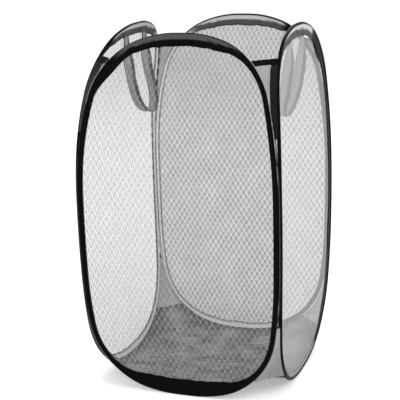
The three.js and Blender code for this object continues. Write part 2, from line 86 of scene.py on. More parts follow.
class Corner(Enum):
    """One of the four upright corners, by its quarter turns from the front right one."""

    FRONT_RIGHT = 0
    BACK_RIGHT = 1
    BACK_LEFT = 2
    FRONT_LEFT = 3

    @property
    def label(self) -> str:
        """Name of the corner as the frame's nodes have it."""
        return self.name.lower()

    @property
    def sides(self) -> tuple[Side, Side]:
        """The two panels that meet here, in the order of the corner's rows."""
        return Side(self.value), Side((self.value + 1) % 4)


# Shaders


class Value:
    """A float socket of a node tree that can be used in Python expressions."""

    def __init__(self, graph: "Graph", socket: bpy.types.NodeSocket) -> None:
        """Keeps the socket and the graph that it belongs to."""
        self.graph = graph
        self.socket = socket

    def maths(self, operation: str, *others: Feed, swap: bool = False) -> "Value":
        """Applies a math node to this value.

        Args:
            operation: name of the math node's operation.
            others: the values after this one.
            swap: puts the first of the others before this value.

        Returns:
            The node's result.
        """
        inputs: list[Feed] = [self, *others]
        if swap:
            inputs[0], inputs[1] = inputs[1], inputs[0]
        node = self.graph.node("ShaderNodeMath", {"operation": operation}, dict(enumerate(inputs)))
        return Value(self.graph, node.outputs[0])

    def __add__(self, other: Feed) -> "Value":
        """Sum of this and the other."""
        return self.maths("ADD", other)

    def __radd__(self, other: Feed) -> "Value":
        """Sum of the other and this."""
        return self.maths("ADD", other)

    def __sub__(self, other: Feed) -> "Value":
        """This less the other."""
        return self.maths("SUBTRACT", other)

    def __rsub__(self, other: Feed) -> "Value":
        """The other less this."""
        return self.maths("SUBTRACT", other, swap=True)

    def __mul__(self, other: Feed) -> "Value":
        """Product of this and the other."""
        return self.maths("MULTIPLY", other)

    def __rmul__(self, other: Feed) -> "Value":
        """Product of the other and this."""
        return self.maths("MULTIPLY", other)

    def __truediv__(self, other: Feed) -> "Value":
        """This over the other."""
        return self.maths("DIVIDE", other)

    def sine(self) -> "Value":
        """Sine of this, in radians."""
        return self.maths("SINE")

    def fraction(self) -> "Value":
        """Part of this after the point."""
        return self.maths("FRACT")

    def size(self) -> "Value":
        """This without its sign."""
        return self.maths("ABSOLUTE")

    def above(self, other: Feed) -> "Value":
        """One where this is over the other, else zero."""
        return self.maths("GREATER_THAN", other)

    def below(self, other: Feed) -> "Value":
        """One where this is under the other, else zero."""
        return self.maths("LESS_THAN", other)

    def most(self, other: Feed) -> "Value":
        """The larger of this and the other."""
        return self.maths("MAXIMUM", other)

    def rise(self, low: float, high: float) -> "Value":
        """Smooth step of this from zero at low to one at high.

        Args:
            low: value at which the step starts.
            high: value at which it ends.

        Returns:
            The step's result.
        """
        settings = {"interpolation_type": "SMOOTHSTEP"}
        sockets = {"Value": self, "From Min": low, "From Max": high}
        node = self.graph.node("ShaderNodeMapRange", settings, sockets)
        return Value(self.graph, node.outputs["Result"])


class Graph:
    """A new material's node tree, with short ways to add nodes and join them."""

    def __init__(self, name: str) -> None:
        """Makes an empty material with an output.

        Args:
            name: name of the material.
        """
        self.material = bpy.data.materials.new(name)
        self.material.use_nodes = True
        self.tree = self.material.node_tree
        self.tree.nodes.clear()
        self.output = self.node("ShaderNodeOutputMaterial")

    def node(
        self, kind: str, settings: Optional[dict[str, object]] = None, sockets: Optional[dict] = None
    ) -> bpy.types.Node:
        """Adds a node.

        Args:
            kind: the node's type.
            settings: attributes to set before the sockets.
            sockets: input names or numbers, each with a value or a socket to join.

        Returns:
            The node.
        """
        node = self.tree.nodes.new(kind)
        for name, value in (settings or {}).items():
            setattr(node, name, value)
        for key, value in (sockets or {}).items():
            self.feed(node.inputs[key], value)
        return node

    def feed(self, socket: bpy.types.NodeSocket, value: Feed) -> None:
        """Joins a socket to another, or sets it.

        Args:
            socket: input to join or set.
            value: a value or socket to join, or a plain number or colour.
        """
        if isinstance(value, Value):
            self.tree.links.new(value.socket, socket)
        elif isinstance(value, bpy.types.NodeSocket):
            self.tree.links.new(value, socket)
        else:
            socket.default_value = value

    def cloth(self) -> tuple[Value, Value]:
        """Cloth coordinates in metres: along the piece and across it.

        Returns:
            The two coordinates.
        """
        source = self.node("ShaderNodeUVMap", {"uv_map": CLOTH_MAP})
        parts = self.node("ShaderNodeSeparateXYZ", sockets={0: source.outputs[0]})
        return Value(self, parts.outputs["X"]), Value(self, parts.outputs["Y"])

    def stored(self, name: str) -> Value:
        """A number that the mesh holds at each of its points."""
        node = self.node("ShaderNodeAttribute", {"attribute_name": name})
        return Value(self, node.outputs["Fac"])

    def noise(self, x: Feed, y: Feed, detail: float = 2.0) -> Value:
        """Noise from zero to one over a plane whose unit is one blot.

        Args:
            x: place along the plane.
            y: place across it.
            detail: how many finer layers the noise has.

        Returns:
            The noise.
        """
        place = self.node("ShaderNodeCombineXYZ", sockets={"X": x, "Y": y})
        sockets = {"Vector": place.outputs[0], "Scale": 1.0, "Detail": detail}
        node = self.node("ShaderNodeTexNoise", {"noise_dimensions": "2D"}, sockets)
        return Value(self, node.outputs["Fac"])

    def mix(self, share: Feed, first: Feed, second: Feed) -> bpy.types.NodeSocket:
        """Mixes two colours.

        Args:
            share: how much of the second colour.
            first: colour at share zero.
            second: colour at share one.

        Returns:
            The mixed colour.
        """
        node = self.node("ShaderNodeMix", {"data_type": "RGBA"})
        self.feed(node.inputs["Factor"], share)
        self.feed(node.inputs[6], first if not isinstance(first, tuple) else (*first, 1.0))
        self.feed(node.inputs[7], second if not isinstance(second, tuple) else (*second, 1.0))
        return node.outputs[2]

    def bump(self, height: Value, distance: float, strength: float = 1.0) -> bpy.types.NodeSocket:
        """Normal of a surface raised by height times distance."""
        sockets = {"Height": height, "Distance": distance, "Strength": strength}
        return self.node("ShaderNodeBump", sockets=sockets).outputs["Normal"]

    def surface(self, **sockets: Feed) -> bpy.types.Material:
        """Ends the tree with a Principled shader, whose sockets are named with underscores.

        Args:
            sockets: values or links of the shader's inputs.

        Returns:
            The finished material.
        """
        named = {
            name.replace("_", " ").title().replace("Ior", "IOR"): value for name, value in sockets.items()
        }
        colour = named.get("Base Color")
        if isinstance(colour, tuple):
            named["Base Color"] = (*colour, 1.0)
        shader = self.node("ShaderNodeBsdfPrincipled", sockets=named)
        self.feed(self.output.inputs["Surface"], shader.outputs[0])
        return self.material


CLOTH_MAP = "Cloth"
SHEER_AND_SHEEN = "pale"
LIGHT = "light"
BAND = "band"
COVER = "cover"
HEM = "hem"


@dataclass(frozen=True)
class TapeFinish:
    """Satin tape: black, sheer grey with a painted sheen where the mesh's pale number says so, and net
    white where light.
    """

    black: Colour = (0.002, 0.002, 0.002)
    # Grey of the sheer tape, also the colour of the painted sheen along the top arcs
    sheer: Colour = (0.80, 0.80, 0.80)
    thread: Colour = (0.03, 0.03, 0.03)
    stitch_length: float = 3.4 * MILLIMETRE
    hem_line: float = 2.0 * MILLIMETRE
    sheer_alpha: float = 0.72
    light: Colour = (0.86, 0.86, 0.86)
    dash_share: float = 0.7
    gathers: tuple[float, float] = (260.0, 38.0)
    weave: float = 5200.0
    relief: float = 1.1 * MILLIMETRE

    def build(self) -> bpy.types.Material:
        """Makes the material.

        Returns:
            The material.
        """
        graph = Graph("satin_tape")
        along, across = graph.cloth()
        # Sheer grey and the painted sheen along the top arcs share this stored number
        pale = graph.stored(SHEER_AND_SHEEN)
        gathers = graph.noise(along * self.gathers[0], across * self.gathers[1], 3.0)
        weave = (along * self.weave).sine() * (across * self.weave).sine()
        hemmed = graph.stored(HEM).below(self.hem_line)
        stitch = hemmed * (along / self.stitch_length).fraction().below(self.dash_share)
        light = graph.stored(LIGHT)
        tone = graph.mix(pale * (0.82 + gathers * 0.36), self.black, self.sheer)
        return graph.surface(
            base_color=graph.mix(stitch, graph.mix(light, tone, self.light), self.thread),
            roughness=0.34 + pale * 0.2 + gathers * 0.08,
            alpha=light.most(1.0 - pale * (1.0 - self.sheer_alpha)),
            specular_ior_level=0.03,
            normal=graph.bump(gathers + weave * 0.03 + stitch * 0.25, self.relief, 0.7),
        )


@dataclass(frozen=True)
class NetFinish:
    """Knitted netting, as dense as the mesh's cover number says: more in the yarn than in the cells."""

    name: str = "knitted_net"
    colour: Colour = (0.40, 0.40, 0.40)
    loops: tuple[float, float] = (4800.0, 3600.0)
    wear: float = 24.0
    relief: float = 0.25 * MILLIMETRE

    def build(self) -> bpy.types.Material:
        """Makes the material.

        Returns:
            The material.
        """
        graph = Graph(self.name)
        along, across = graph.cloth()
        loops = (along * self.loops[0]).sine() * (across * self.loops[1]).sine()
        wear = graph.noise(along * self.wear, across * self.wear)
        return graph.surface(
            base_color=self.colour,
            roughness=0.7,
            specular_ior_level=0.2,
            alpha=graph.stored(COVER) * (0.92 + wear * 0.16),
            normal=graph.bump(loops, self.relief, 0.5),
        )


@dataclass(frozen=True)
class NylonFinish:
    """Thin plain nylon with fine creases, and black where the mesh's band number is over zero; painted
    shade can darken thin lines along its creases and its rim.
    """

    name: str
    colour: Colour
    alpha: float
    crease: float = 1.0
    band: Colour = (0.003, 0.003, 0.003)
    vary: float = 0.12
    # Strength of the painted shade in thin lines along the creases
    crease_shade: float = 0.0
    # Painted shade: the sheet darkens towards this distance from its middle
    rim: float = 10.0
    shade_rim_width: float = 0.03
    weave: float = 7800.0
    blots: float = 21.0
    wrinkles: float = 64.0
    relief: float = 2.2 * MILLIMETRE

    def build(self) -> bpy.types.Material:
        """Makes the material.

        Returns:
            The material.
        """
        graph = Graph(self.name)
        along, across = graph.cloth()
        weave = (along * self.weave).sine() * (across * self.weave).sine()
        broad = graph.noise(along * self.blots, across * self.blots, 4.0)
        folds = (graph.noise(along * self.wrinkles, across * self.wrinkles, 3.0) - 0.5).size()
        dark, pale = (tuple((1.0 + k * self.vary) * c for c in self.colour) for k in (-1.0, 1.0))
        lines = (graph.noise(along * 9.0 + across * 7.0, across * 26.0 - along * 14.0, 3.0) - 0.5).size()
        # Painted shade in thin dark lines along the creases
        rumpled = (1.0 - lines.rise(0.0, 0.05)) * self.crease_shade
        # Painted shade along the rim of the sheet
        rim_shade = along.size().most(across.size()).rise(self.rim - self.shade_rim_width, self.rim) * 0.7
        tone = graph.mix(rumpled.most(rim_shade), graph.mix(broad.rise(0.3, 0.7), dark, pale), self.band)
        banded = graph.stored(BAND).above(0.0)
        return graph.surface(
            base_color=graph.mix(banded, tone, self.band),
            roughness=0.42 + broad * 0.12,
            alpha=banded.most(self.alpha),
            specular_ior_level=0.1,
            normal=graph.bump(folds * self.crease + weave * 0.01, self.relief, 0.6),
        )


@dataclass(frozen=True)
class WebbingFinish:
    """Grey woven webbing with a broad black stripe along one edge and a thin line along the other."""

    body: Colour = (0.30, 0.30, 0.30)
    edge: Colour = (0.012, 0.012, 0.013)
    half_width: float = 9.0 * MILLIMETRE
    stripe: float = 6.0 * MILLIMETRE
    line: float = 1.2 * MILLIMETRE
    rib: float = 1.6 * MILLIMETRE
    yarn: float = 0.9 * MILLIMETRE
    relief: float = 0.35 * MILLIMETRE

    def build(self) -> bpy.types.Material:
        """Makes the material.

        Returns:
            The material.
        """
        graph = Graph("webbing")
        along, across = graph.cloth()
        chevron = (along + across.size() * 0.6) * (2.0 * math.pi / self.rib)
        ribs = chevron.sine() * 0.5 + 0.5
        yarn = (across * (2.0 * math.pi / self.yarn)).sine() * 0.5 + 0.5
        broad = across.above(self.half_width - self.stripe)
        striped = broad.most(across.below(self.line - self.half_width))
        tone = graph.mix(striped, self.body, self.edge)
        shade = graph.mix(ribs * 0.35, tone, (0.012, 0.012, 0.012))
        return graph.surface(
            base_color=shade,
            roughness=0.78,
            sheen_weight=0.2,
            normal=graph.bump(ribs * 0.7 + yarn * 0.3, self.relief, 0.8),
        )


@dataclass(frozen=True)
class PatchFinish:
    """Dark patch sewn with a box and a cross of pale thread."""

    half_width: float
    half_height: float
    cloth: Colour = (0.03, 0.03, 0.032)
    thread: Colour = (0.22, 0.22, 0.23)
    inset: float = 1.8 * MILLIMETRE
    thread_width: float = 0.38 * MILLIMETRE
    dash: float = 2.6 * MILLIMETRE
    dash_share: float = 0.7
    weave: float = 5200.0
    relief: float = 0.3 * MILLIMETRE

    def build(self) -> bpy.types.Material:
        """Makes the material.

        Returns:
            The material.
        """
        graph = Graph("sewn_patch")
        along, across = graph.cloth()
        inner = (self.half_width - self.inset, self.half_height - self.inset)
        reach = (along.size() - inner[0]).most(across.size() - inner[1])
        box = reach.size().below(self.thread_width)
        cross = (along.size() * (inner[1] / inner[0]) - across.size()).size().below(self.thread_width)
        dashes = ((along + across) / self.dash).fraction().below(self.dash_share)
        sewn = (box + cross * reach.below(0.0)).above(0.5) * dashes
        weave = (along * self.weave).sine() * (across * self.weave).sine()
        return graph.surface(
            base_color=graph.mix(sewn, self.cloth, self.thread),
            roughness=0.7,
            normal=graph.bump(weave * 0.2 - sewn, self.relief, 0.7),
        )


@dataclass(frozen=True)
class ThreadFinish:
    """Twisted sewing thread."""

    colour: Colour = (0.012, 0.012, 0.013)
    lay: float = 2.4 * MILLIMETRE
    relief: float = 0.2 * MILLIMETRE

    def build(self) -> bpy.types.Material:
        """Makes the material.

        Returns:
            The material.
        """
        graph = Graph("seam_thread")
        along, across = graph.cloth()
        strands = (along * (2.0 * math.pi / self.lay) + across * 1900.0).sine()
        tone = graph.mix(strands * 0.5 + 0.5, self.colour, tuple(2.2 * c for c in self.colour))
        normal = graph.bump(strands, self.relief, 0.6)
        return graph.surface(base_color=tone, roughness=0.6, normal=normal)


@dataclass(frozen=True)
class MetalFinish:
    """Bare or lacquered metal with faint draw marks."""

    name: str
    colour: Colour
    metallic: float
    roughness: float

    def build(self) -> bpy.types.Material:
        """Makes the material.

        Returns:
            The material.
        """
        graph = Graph(self.name)
        place = graph.node("ShaderNodeTexCoord").outputs["Object"]
        marks = graph.node("ShaderNodeTexNoise", sockets={"Vector": place, "Scale": 420.0, "Detail": 3.0})
        worn = Value(graph, marks.outputs["Fac"])
        return graph.surface(
            base_color=graph.mix(worn, self.colour, tuple(1.25 * c for c in self.colour)),
            metallic=self.metallic,
            roughness=self.roughness + worn * 0.12,
        )


@dataclass(frozen=True)
class Finishes:
    """Every material of the hamper, built once."""

    tape: bpy.types.Material = field(default_factory=lambda: TapeFinish().build())
    net: bpy.types.Material = field(default_factory=lambda: NetFinish().build())
    # Lighter copy of the netting for the right side: painted light
    pale_net: bpy.types.Material = field(
        default_factory=lambda: NetFinish("lit_knitted_net", (0.85, 0.85, 0.85)).build()
    )
    gusset: bpy.types.Material = field(
        default_factory=lambda: NylonFinish("gusset_nylon", (0.50, 0.50, 0.50), 0.9, 0.6).build()
    )
    # Darker copy of the gusset nylon for the front corners: painted shade
    shaded_front_gusset: bpy.types.Material = field(
        default_factory=lambda: NylonFinish("shaded_front_gusset_nylon", (0.34, 0.34, 0.34), 0.9, 0.6).build()
    )
    # The floor takes painted shade in thin crease lines and along its rim
    floor: bpy.types.Material = field(
        default_factory=lambda: NylonFinish(
            "floor_nylon", (0.24, 0.24, 0.24), 1.0, 1.6, vary=0.35, crease_shade=0.6, rim=0.156
        ).build()
    )
    webbing: bpy.types.Material = field(default_factory=lambda: WebbingFinish().build())
    patch: bpy.types.Material = field(
        default_factory=lambda: PatchFinish(12.0 * MILLIMETRE, 5.0 * MILLIMETRE).build()
    )
    thread: bpy.types.Material = field(default_factory=lambda: ThreadFinish().build())
    wire: bpy.types.Material = field(
        default_factory=lambda: MetalFinish("spring_wire", (0.012, 0.012, 0.013), 0.3, 0.35).build()
    )
    ferrule: bpy.types.Material = field(
        default_factory=lambda: MetalFinish("ferrule_metal", (0.42, 0.43, 0.44), 1.0, 0.38).build()
    )


# Meshes


def smooth(low: float, high: float, value: np.ndarray) -> np.ndarray:
    """Smooth step from zero at low to one at high."""
    share = np.clip((value - low) / (high - low), 0.0, 1.0)
    return share * share * (3.0 - 2.0 * share)


class Ripple:
    """Repeatable wandering number along a length: a sum of sines with seeded phases."""

    def __init__(self, seed: int, lengths: Sequence[float]) -> None:
        """Takes the seed and the wavelengths in metres."""
        self.lengths = np.array(lengths)
        self.phases = np.random.default_rng(seed).uniform(0.0, 2.0 * math.pi, len(lengths))

    def at(self, place: np.ndarray) -> np.ndarray:
        """Value from about -1 to 1 at each place."""
        turns = 2.0 * math.pi * place[..., None] / self.lengths + self.phases
        return np.sin(turns).sum(axis=-1) / math.sqrt(len(self.lengths))


@dataclass
class Grid:
    """Rows and columns of points with cloth coordinates, which may run round as a loop."""

    points: np.ndarray
    cloth: np.ndarray
    looped: bool = False
    loop_length: float = 0.0
    tube: bool = False
    tube_length: float = 0.0
    numbers: dict[str, np.ndarray] = field(default_factory=dict)

    def area(self) -> float:
        """Area of the grid's surface in square metres.

        Returns:
            The area.
        """
        rows = np.concatenate([self.points, self.points[:1]]) if self.looped else self.points
        first = rows[1:, :-1] - rows[:-1, :-1]
        second = rows[:-1, 1:] - rows[:-1, :-1]
        third = rows[1:, :-1] - rows[1:, 1:]
        fourth = rows[:-1, 1:] - rows[1:, 1:]
        lower = np.linalg.norm(np.cross(first, second), axis=-1)
        upper = np.linalg.norm(np.cross(third, fourth), axis=-1)
        return float((lower + upper).sum() / 2.0)

    def build(self, name: str) -> bpy.types.Object:
        """Makes a smooth mesh object of the grid.

        Args:
            name: name of the object.

        Returns:
            The object.
        """
        rows, columns = self.points.shape[:2]
        row_spans = rows if self.looped else rows - 1
        column_spans = columns if self.tube else columns - 1
        faces, corners = [], []
        for i in range(row_spans):
            for j in range(column_spans):
                ring = ((i, j), (i + 1, j), (i + 1, j + 1), (i, j + 1))
                faces.append([(a % rows) * columns + b % columns for a, b in ring])
                for a, b in ring:
                    along = self.loop_length if a == rows else 0.0
                    across = self.tube_length if b == columns else 0.0
                    corners.append(self.cloth[a % rows, b % columns] + np.array((along, across)))
        return mesh_object(name, self.points.reshape(-1, 3), faces, np.array(corners), self.numbers)


def mesh_object(
    name: str,
    points: np.ndarray,
    faces: Sequence[Sequence[int]],
    corners: np.ndarray,
    numbers: Optional[dict[str, np.ndarray]] = None,
) -> bpy.types.Object:
    """Makes an object from points and faces.

    Args:
        name: name of the object and of its mesh.
        points: the vertices.
        faces: vertex numbers of each face.
        corners: cloth coordinates of each face corner, in the order of the faces.
        numbers: further numbers at each vertex, by name.

    Returns:
        The object, in the scene.
    """
    mesh = bpy.data.meshes.new(name)
    mesh.from_pydata(points.tolist(), [], [list(face) for face in faces])
    layer = mesh.uv_layers.new(name=CLOTH_MAP)
    layer.data.foreach_set("uv", np.asarray(corners, np.float32).ravel())
    for key, values in (numbers or {}).items():
        attribute = mesh.attributes.new(key, "FLOAT", "POINT")
        attribute.data.foreach_set("value", np.asarray(values, np.float32).ravel())
    mesh.polygons.foreach_set("use_smooth", [True] * len(mesh.polygons))
    mesh.update()
    made = bpy.data.objects.new(name, mesh)
    bpy.context.scene.collection.objects.link(made)
    return made


def thicken(made: bpy.types.Object, thickness: float) -> None:
    """Gives a sheet an even thickness about its middle.

    Args:
        made: the sheet.
        thickness: its thickness in metres.
    """
    modifier = made.modifiers.new("thickness", "SOLIDIFY")
    modifier.thickness = thickness
    modifier.offset = 0.0


def dress(made: bpy.types.Object, material: bpy.types.Material) -> bpy.types.Object:
    """Gives a piece its material."""
    made.data.materials.append(material)
    return made


# The hamper's shape


@dataclass(frozen=True)
class Quarter:
    """One quarter of a loop's middle line: an easing arc, a corner arc and a crown arc."""

    half_width: float
    ease_rise: float
    ease_angle: float
    corner_radius: float
    corner_angle: float
    flat: float = 24.0 * MILLIMETRE

    def arcs(self) -> tuple[tuple[float, float, float], ...]:
        """Radius, start angle and end angle of each arc; angles are from upright, in radians.

        Returns:
            The three arcs, from the straight side to the crown.
        """
        ease_end = math.radians(self.ease_angle)
        corner_end = ease_end + math.radians(self.corner_angle)
        ease = self.ease_rise / math.sin(ease_end)
        corner_inset = self.corner_radius * (math.cos(ease_end) - math.cos(corner_end))
        inset = ease * (1.0 - math.cos(ease_end)) + corner_inset
        crown = (self.half_width - self.flat / 2.0 - inset) / math.cos(corner_end)
        return (
            (ease, 0.0, ease_end),
            (self.corner_radius, ease_end, corner_end),
            (crown, corner_end, math.pi / 2.0),
        )

    def line(self, step: float) -> np.ndarray:
        """Points along the quarter.

        Args:
            step: longest distance between two points.

        Returns:
            Rows of distance from the loop's middle, rise and angle.
        """
        rows = [(self.half_width, 0.0, 0.0)]
        for radius, start, end in self.arcs():
            u, rise, _ = rows[-1]
            count = max(2, math.ceil(radius * (end - start) / step))
            for angle in np.linspace(start, end, count + 1)[1:]:
                x = u - radius * (math.cos(start) - math.cos(angle))
                rows.append((x, rise + radius * (math.sin(angle) - math.sin(start)), angle))
        return np.array(rows)

    def at(self, angles: np.ndarray) -> np.ndarray:
        """Rows of distance from the middle, rise and angle at the given angles in radians.

        Args:
            angles: the angles.

        Returns:
            The rows.
        """
        line = self.line(1.0 * MILLIMETRE)
        across, rise = (np.interp(angles, line[:, 2], line[:, k]) for k in (0, 1))
        return np.stack([across, rise, angles], 1)


@dataclass(frozen=True)
class HamperShape:
    """Sizes shared by all pieces, and the way from a flat panel to its place on the hamper."""

    height: float = 0.610
    plan_width: float = 0.3556
    bow: float = 0.012
    tube_radius: float = 3.2 * MILLIMETRE
    seam_gap: float = 0.4 * MILLIMETRE
    left_lean: float = 0.038
    right_lean: float = 0.006
    lean_start_share: float = 0.56
    lean_power: float = 2.5

    @property
    def offset(self) -> float:
        """Distance of a panel's middle plane from the hamper's axis, at half height."""
        return self.plan_width / 2.0 - self.tube_radius

    @property
    def half_loop(self) -> float:
        """Half the width of a loop's middle line."""
        return self.offset - (2.0 * self.tube_radius + self.seam_gap) / math.sqrt(2.0)

    @property
    def tube_flat(self) -> float:
        """Distance from the wire to the sleeve's outermost facet."""
        return self.tube_radius * math.cos(math.radians(30.0))

    @property
    def top(self) -> Quarter:
        """Quarter loop above the straight side.

        Returns:
            The quarter.
        """
        return Quarter(
            self.half_loop,
            ease_rise=0.267 * self.height,
            ease_angle=7.2,
            corner_radius=107.0 * MILLIMETRE,
            corner_angle=64.5,
        )

    @property
    def bottom(self) -> Quarter:
        """Quarter loop below the straight side.

        Returns:
            The quarter.
        """
        return Quarter(
            self.half_loop,
            ease_rise=0.153 * self.height,
            ease_angle=6.0,
            corner_radius=124.0 * MILLIMETRE,
            corner_angle=70.0,
        )

    def lean(self, z: np.ndarray) -> np.ndarray:
        """How far a panel leans in at a height."""
        return self.bow * (2.0 * np.asarray(z) / self.height - 1.0) ** 2

    def drawn_in(self, points: np.ndarray) -> np.ndarray:
        """Draws the loose top sideways, more at the left than at the right.

        Args:
            points: points on the upright hamper.

        Returns:
            The points as the loose top draws them.
        """
        start = self.lean_start_share * self.height
        rise = np.maximum(points[..., 2] - start, 0.0) / (self.height - start)
        across = points[..., 0] / self.plan_width + 0.5
        moved = points.copy()
        pull = self.left_lean * (1.0 - across) - self.right_lean * across
        moved[..., 0] += rise**self.lean_power * pull
        return moved

    def set_up(self, points: np.ndarray, corner: "Corner") -> np.ndarray:
        """Carries points from the front right corner to another one, and draws the top in."""
        return self.drawn_in(turned(points, corner.value))

    def place(self, u: np.ndarray, n: np.ndarray, z: np.ndarray, turns: int = 0) -> np.ndarray:
        """Carries panel coordinates to the hamper, before its top is drawn in.

        Args:
            u: along the panel's width.
            n: outwards from its middle plane.
            z: height.
            turns: quarter turns from the front panel.

        Returns:
            The points, in metres.
        """
        u, n, z = np.broadcast_arrays(np.asarray(u, float), np.asarray(n, float), np.asarray(z, float))
        shift = self.lean(z)
        x, y = u * (1.0 - shift / self.half_loop), -(self.offset + n - shift)
        return turned(np.stack([x, y, z], -1), turns)

    def side_end(self, quarter: Quarter, upper: bool) -> float:
        """Height where the straight side ends and the quarter begins."""
        rise = quarter.line(1.0 * MILLIMETRE)[-1, 1]
        return self.height - self.tube_flat - rise if upper else self.tube_flat + rise

    def on_loop(self, rows: np.ndarray, upper: bool) -> tuple[np.ndarray, np.ndarray, np.ndarray]:
        """Splits quarter rows into distance, height and outward angle above the horizontal.

        Args:
            rows: rows of distance, rise and angle.
            upper: whether they belong above the straight side.

        Returns:
            Distance from the middle, height and angle.
        """
        end = self.side_end(self.top if upper else self.bottom, upper)
        sign = 1.0 if upper else -1.0
        return rows[:, 0], end + sign * rows[:, 1], sign * rows[:, 2]

    def loop(self, step: float) -> np.ndarray:
        """Rows of u, z, outward angle and length so far, round a whole loop from the bottom's middle.

        Args:
            step: longest distance between two points.

        Returns:
            The rows.
        """
        top = np.stack(self.on_loop(self.top.line(step), True), 1)
        bottom = np.stack(self.on_loop(self.bottom.line(step), False), 1)[::-1]
        count = max(2, math.ceil((top[0, 1] - bottom[-1, 1]) / step))
        side = np.linspace(bottom[-1], top[0], count + 1)[1:-1]
        right = np.concatenate([bottom, side, top])
        left = right[::-1] * np.array([-1.0, 1.0, -1.0]) + np.array([0.0, 0.0, math.pi])
        rows = np.concatenate([right, left])
        steps = np.linalg.norm(np.diff(rows[:, :2], axis=0), axis=1)
        return np.column_stack([rows, np.concatenate([[0.0], np.cumsum(steps)])])


def turned(points: np.ndarray, turns: int) -> np.ndarray:
    """Turns points about the hamper's axis by quarter turns.

    Args:
        points: the points.
        turns: how many quarter turns, anticlockwise from above.

    Returns:
        The turned points.
    """
    x, y, z = points[..., 0], points[..., 1], points[..., 2]
    for _ in range(turns % 4):
        x, y = -y, x
    return np.stack([x, y, z], -1)


OUTWARD = np.array([1.0, -1.0, 0.0]) / math.sqrt(2.0)


# Sub-assemblies


# Extra reach of the loose tape, and the loop's outward angle in degrees where it is widest
SLACK: dict[Side, tuple[float, float]] = {
    Side.FRONT: (13.0 * MILLIMETRE, 143.0),
    Side.RIGHT: (18.0 * MILLIMETRE, 46.0),
    Side.BACK: (0.0, 90.0),
    Side.LEFT: (0.0, 90.0),
}
# Upright edge where the whole tape is black: 1 for a panel's own right, -1 for its left, 0 for none
DARK_EDGE: dict[Side, float] = {Side.FRONT: 0.0, Side.RIGHT: 1.0, Side.BACK: -1.0, Side.LEFT: 1.0}


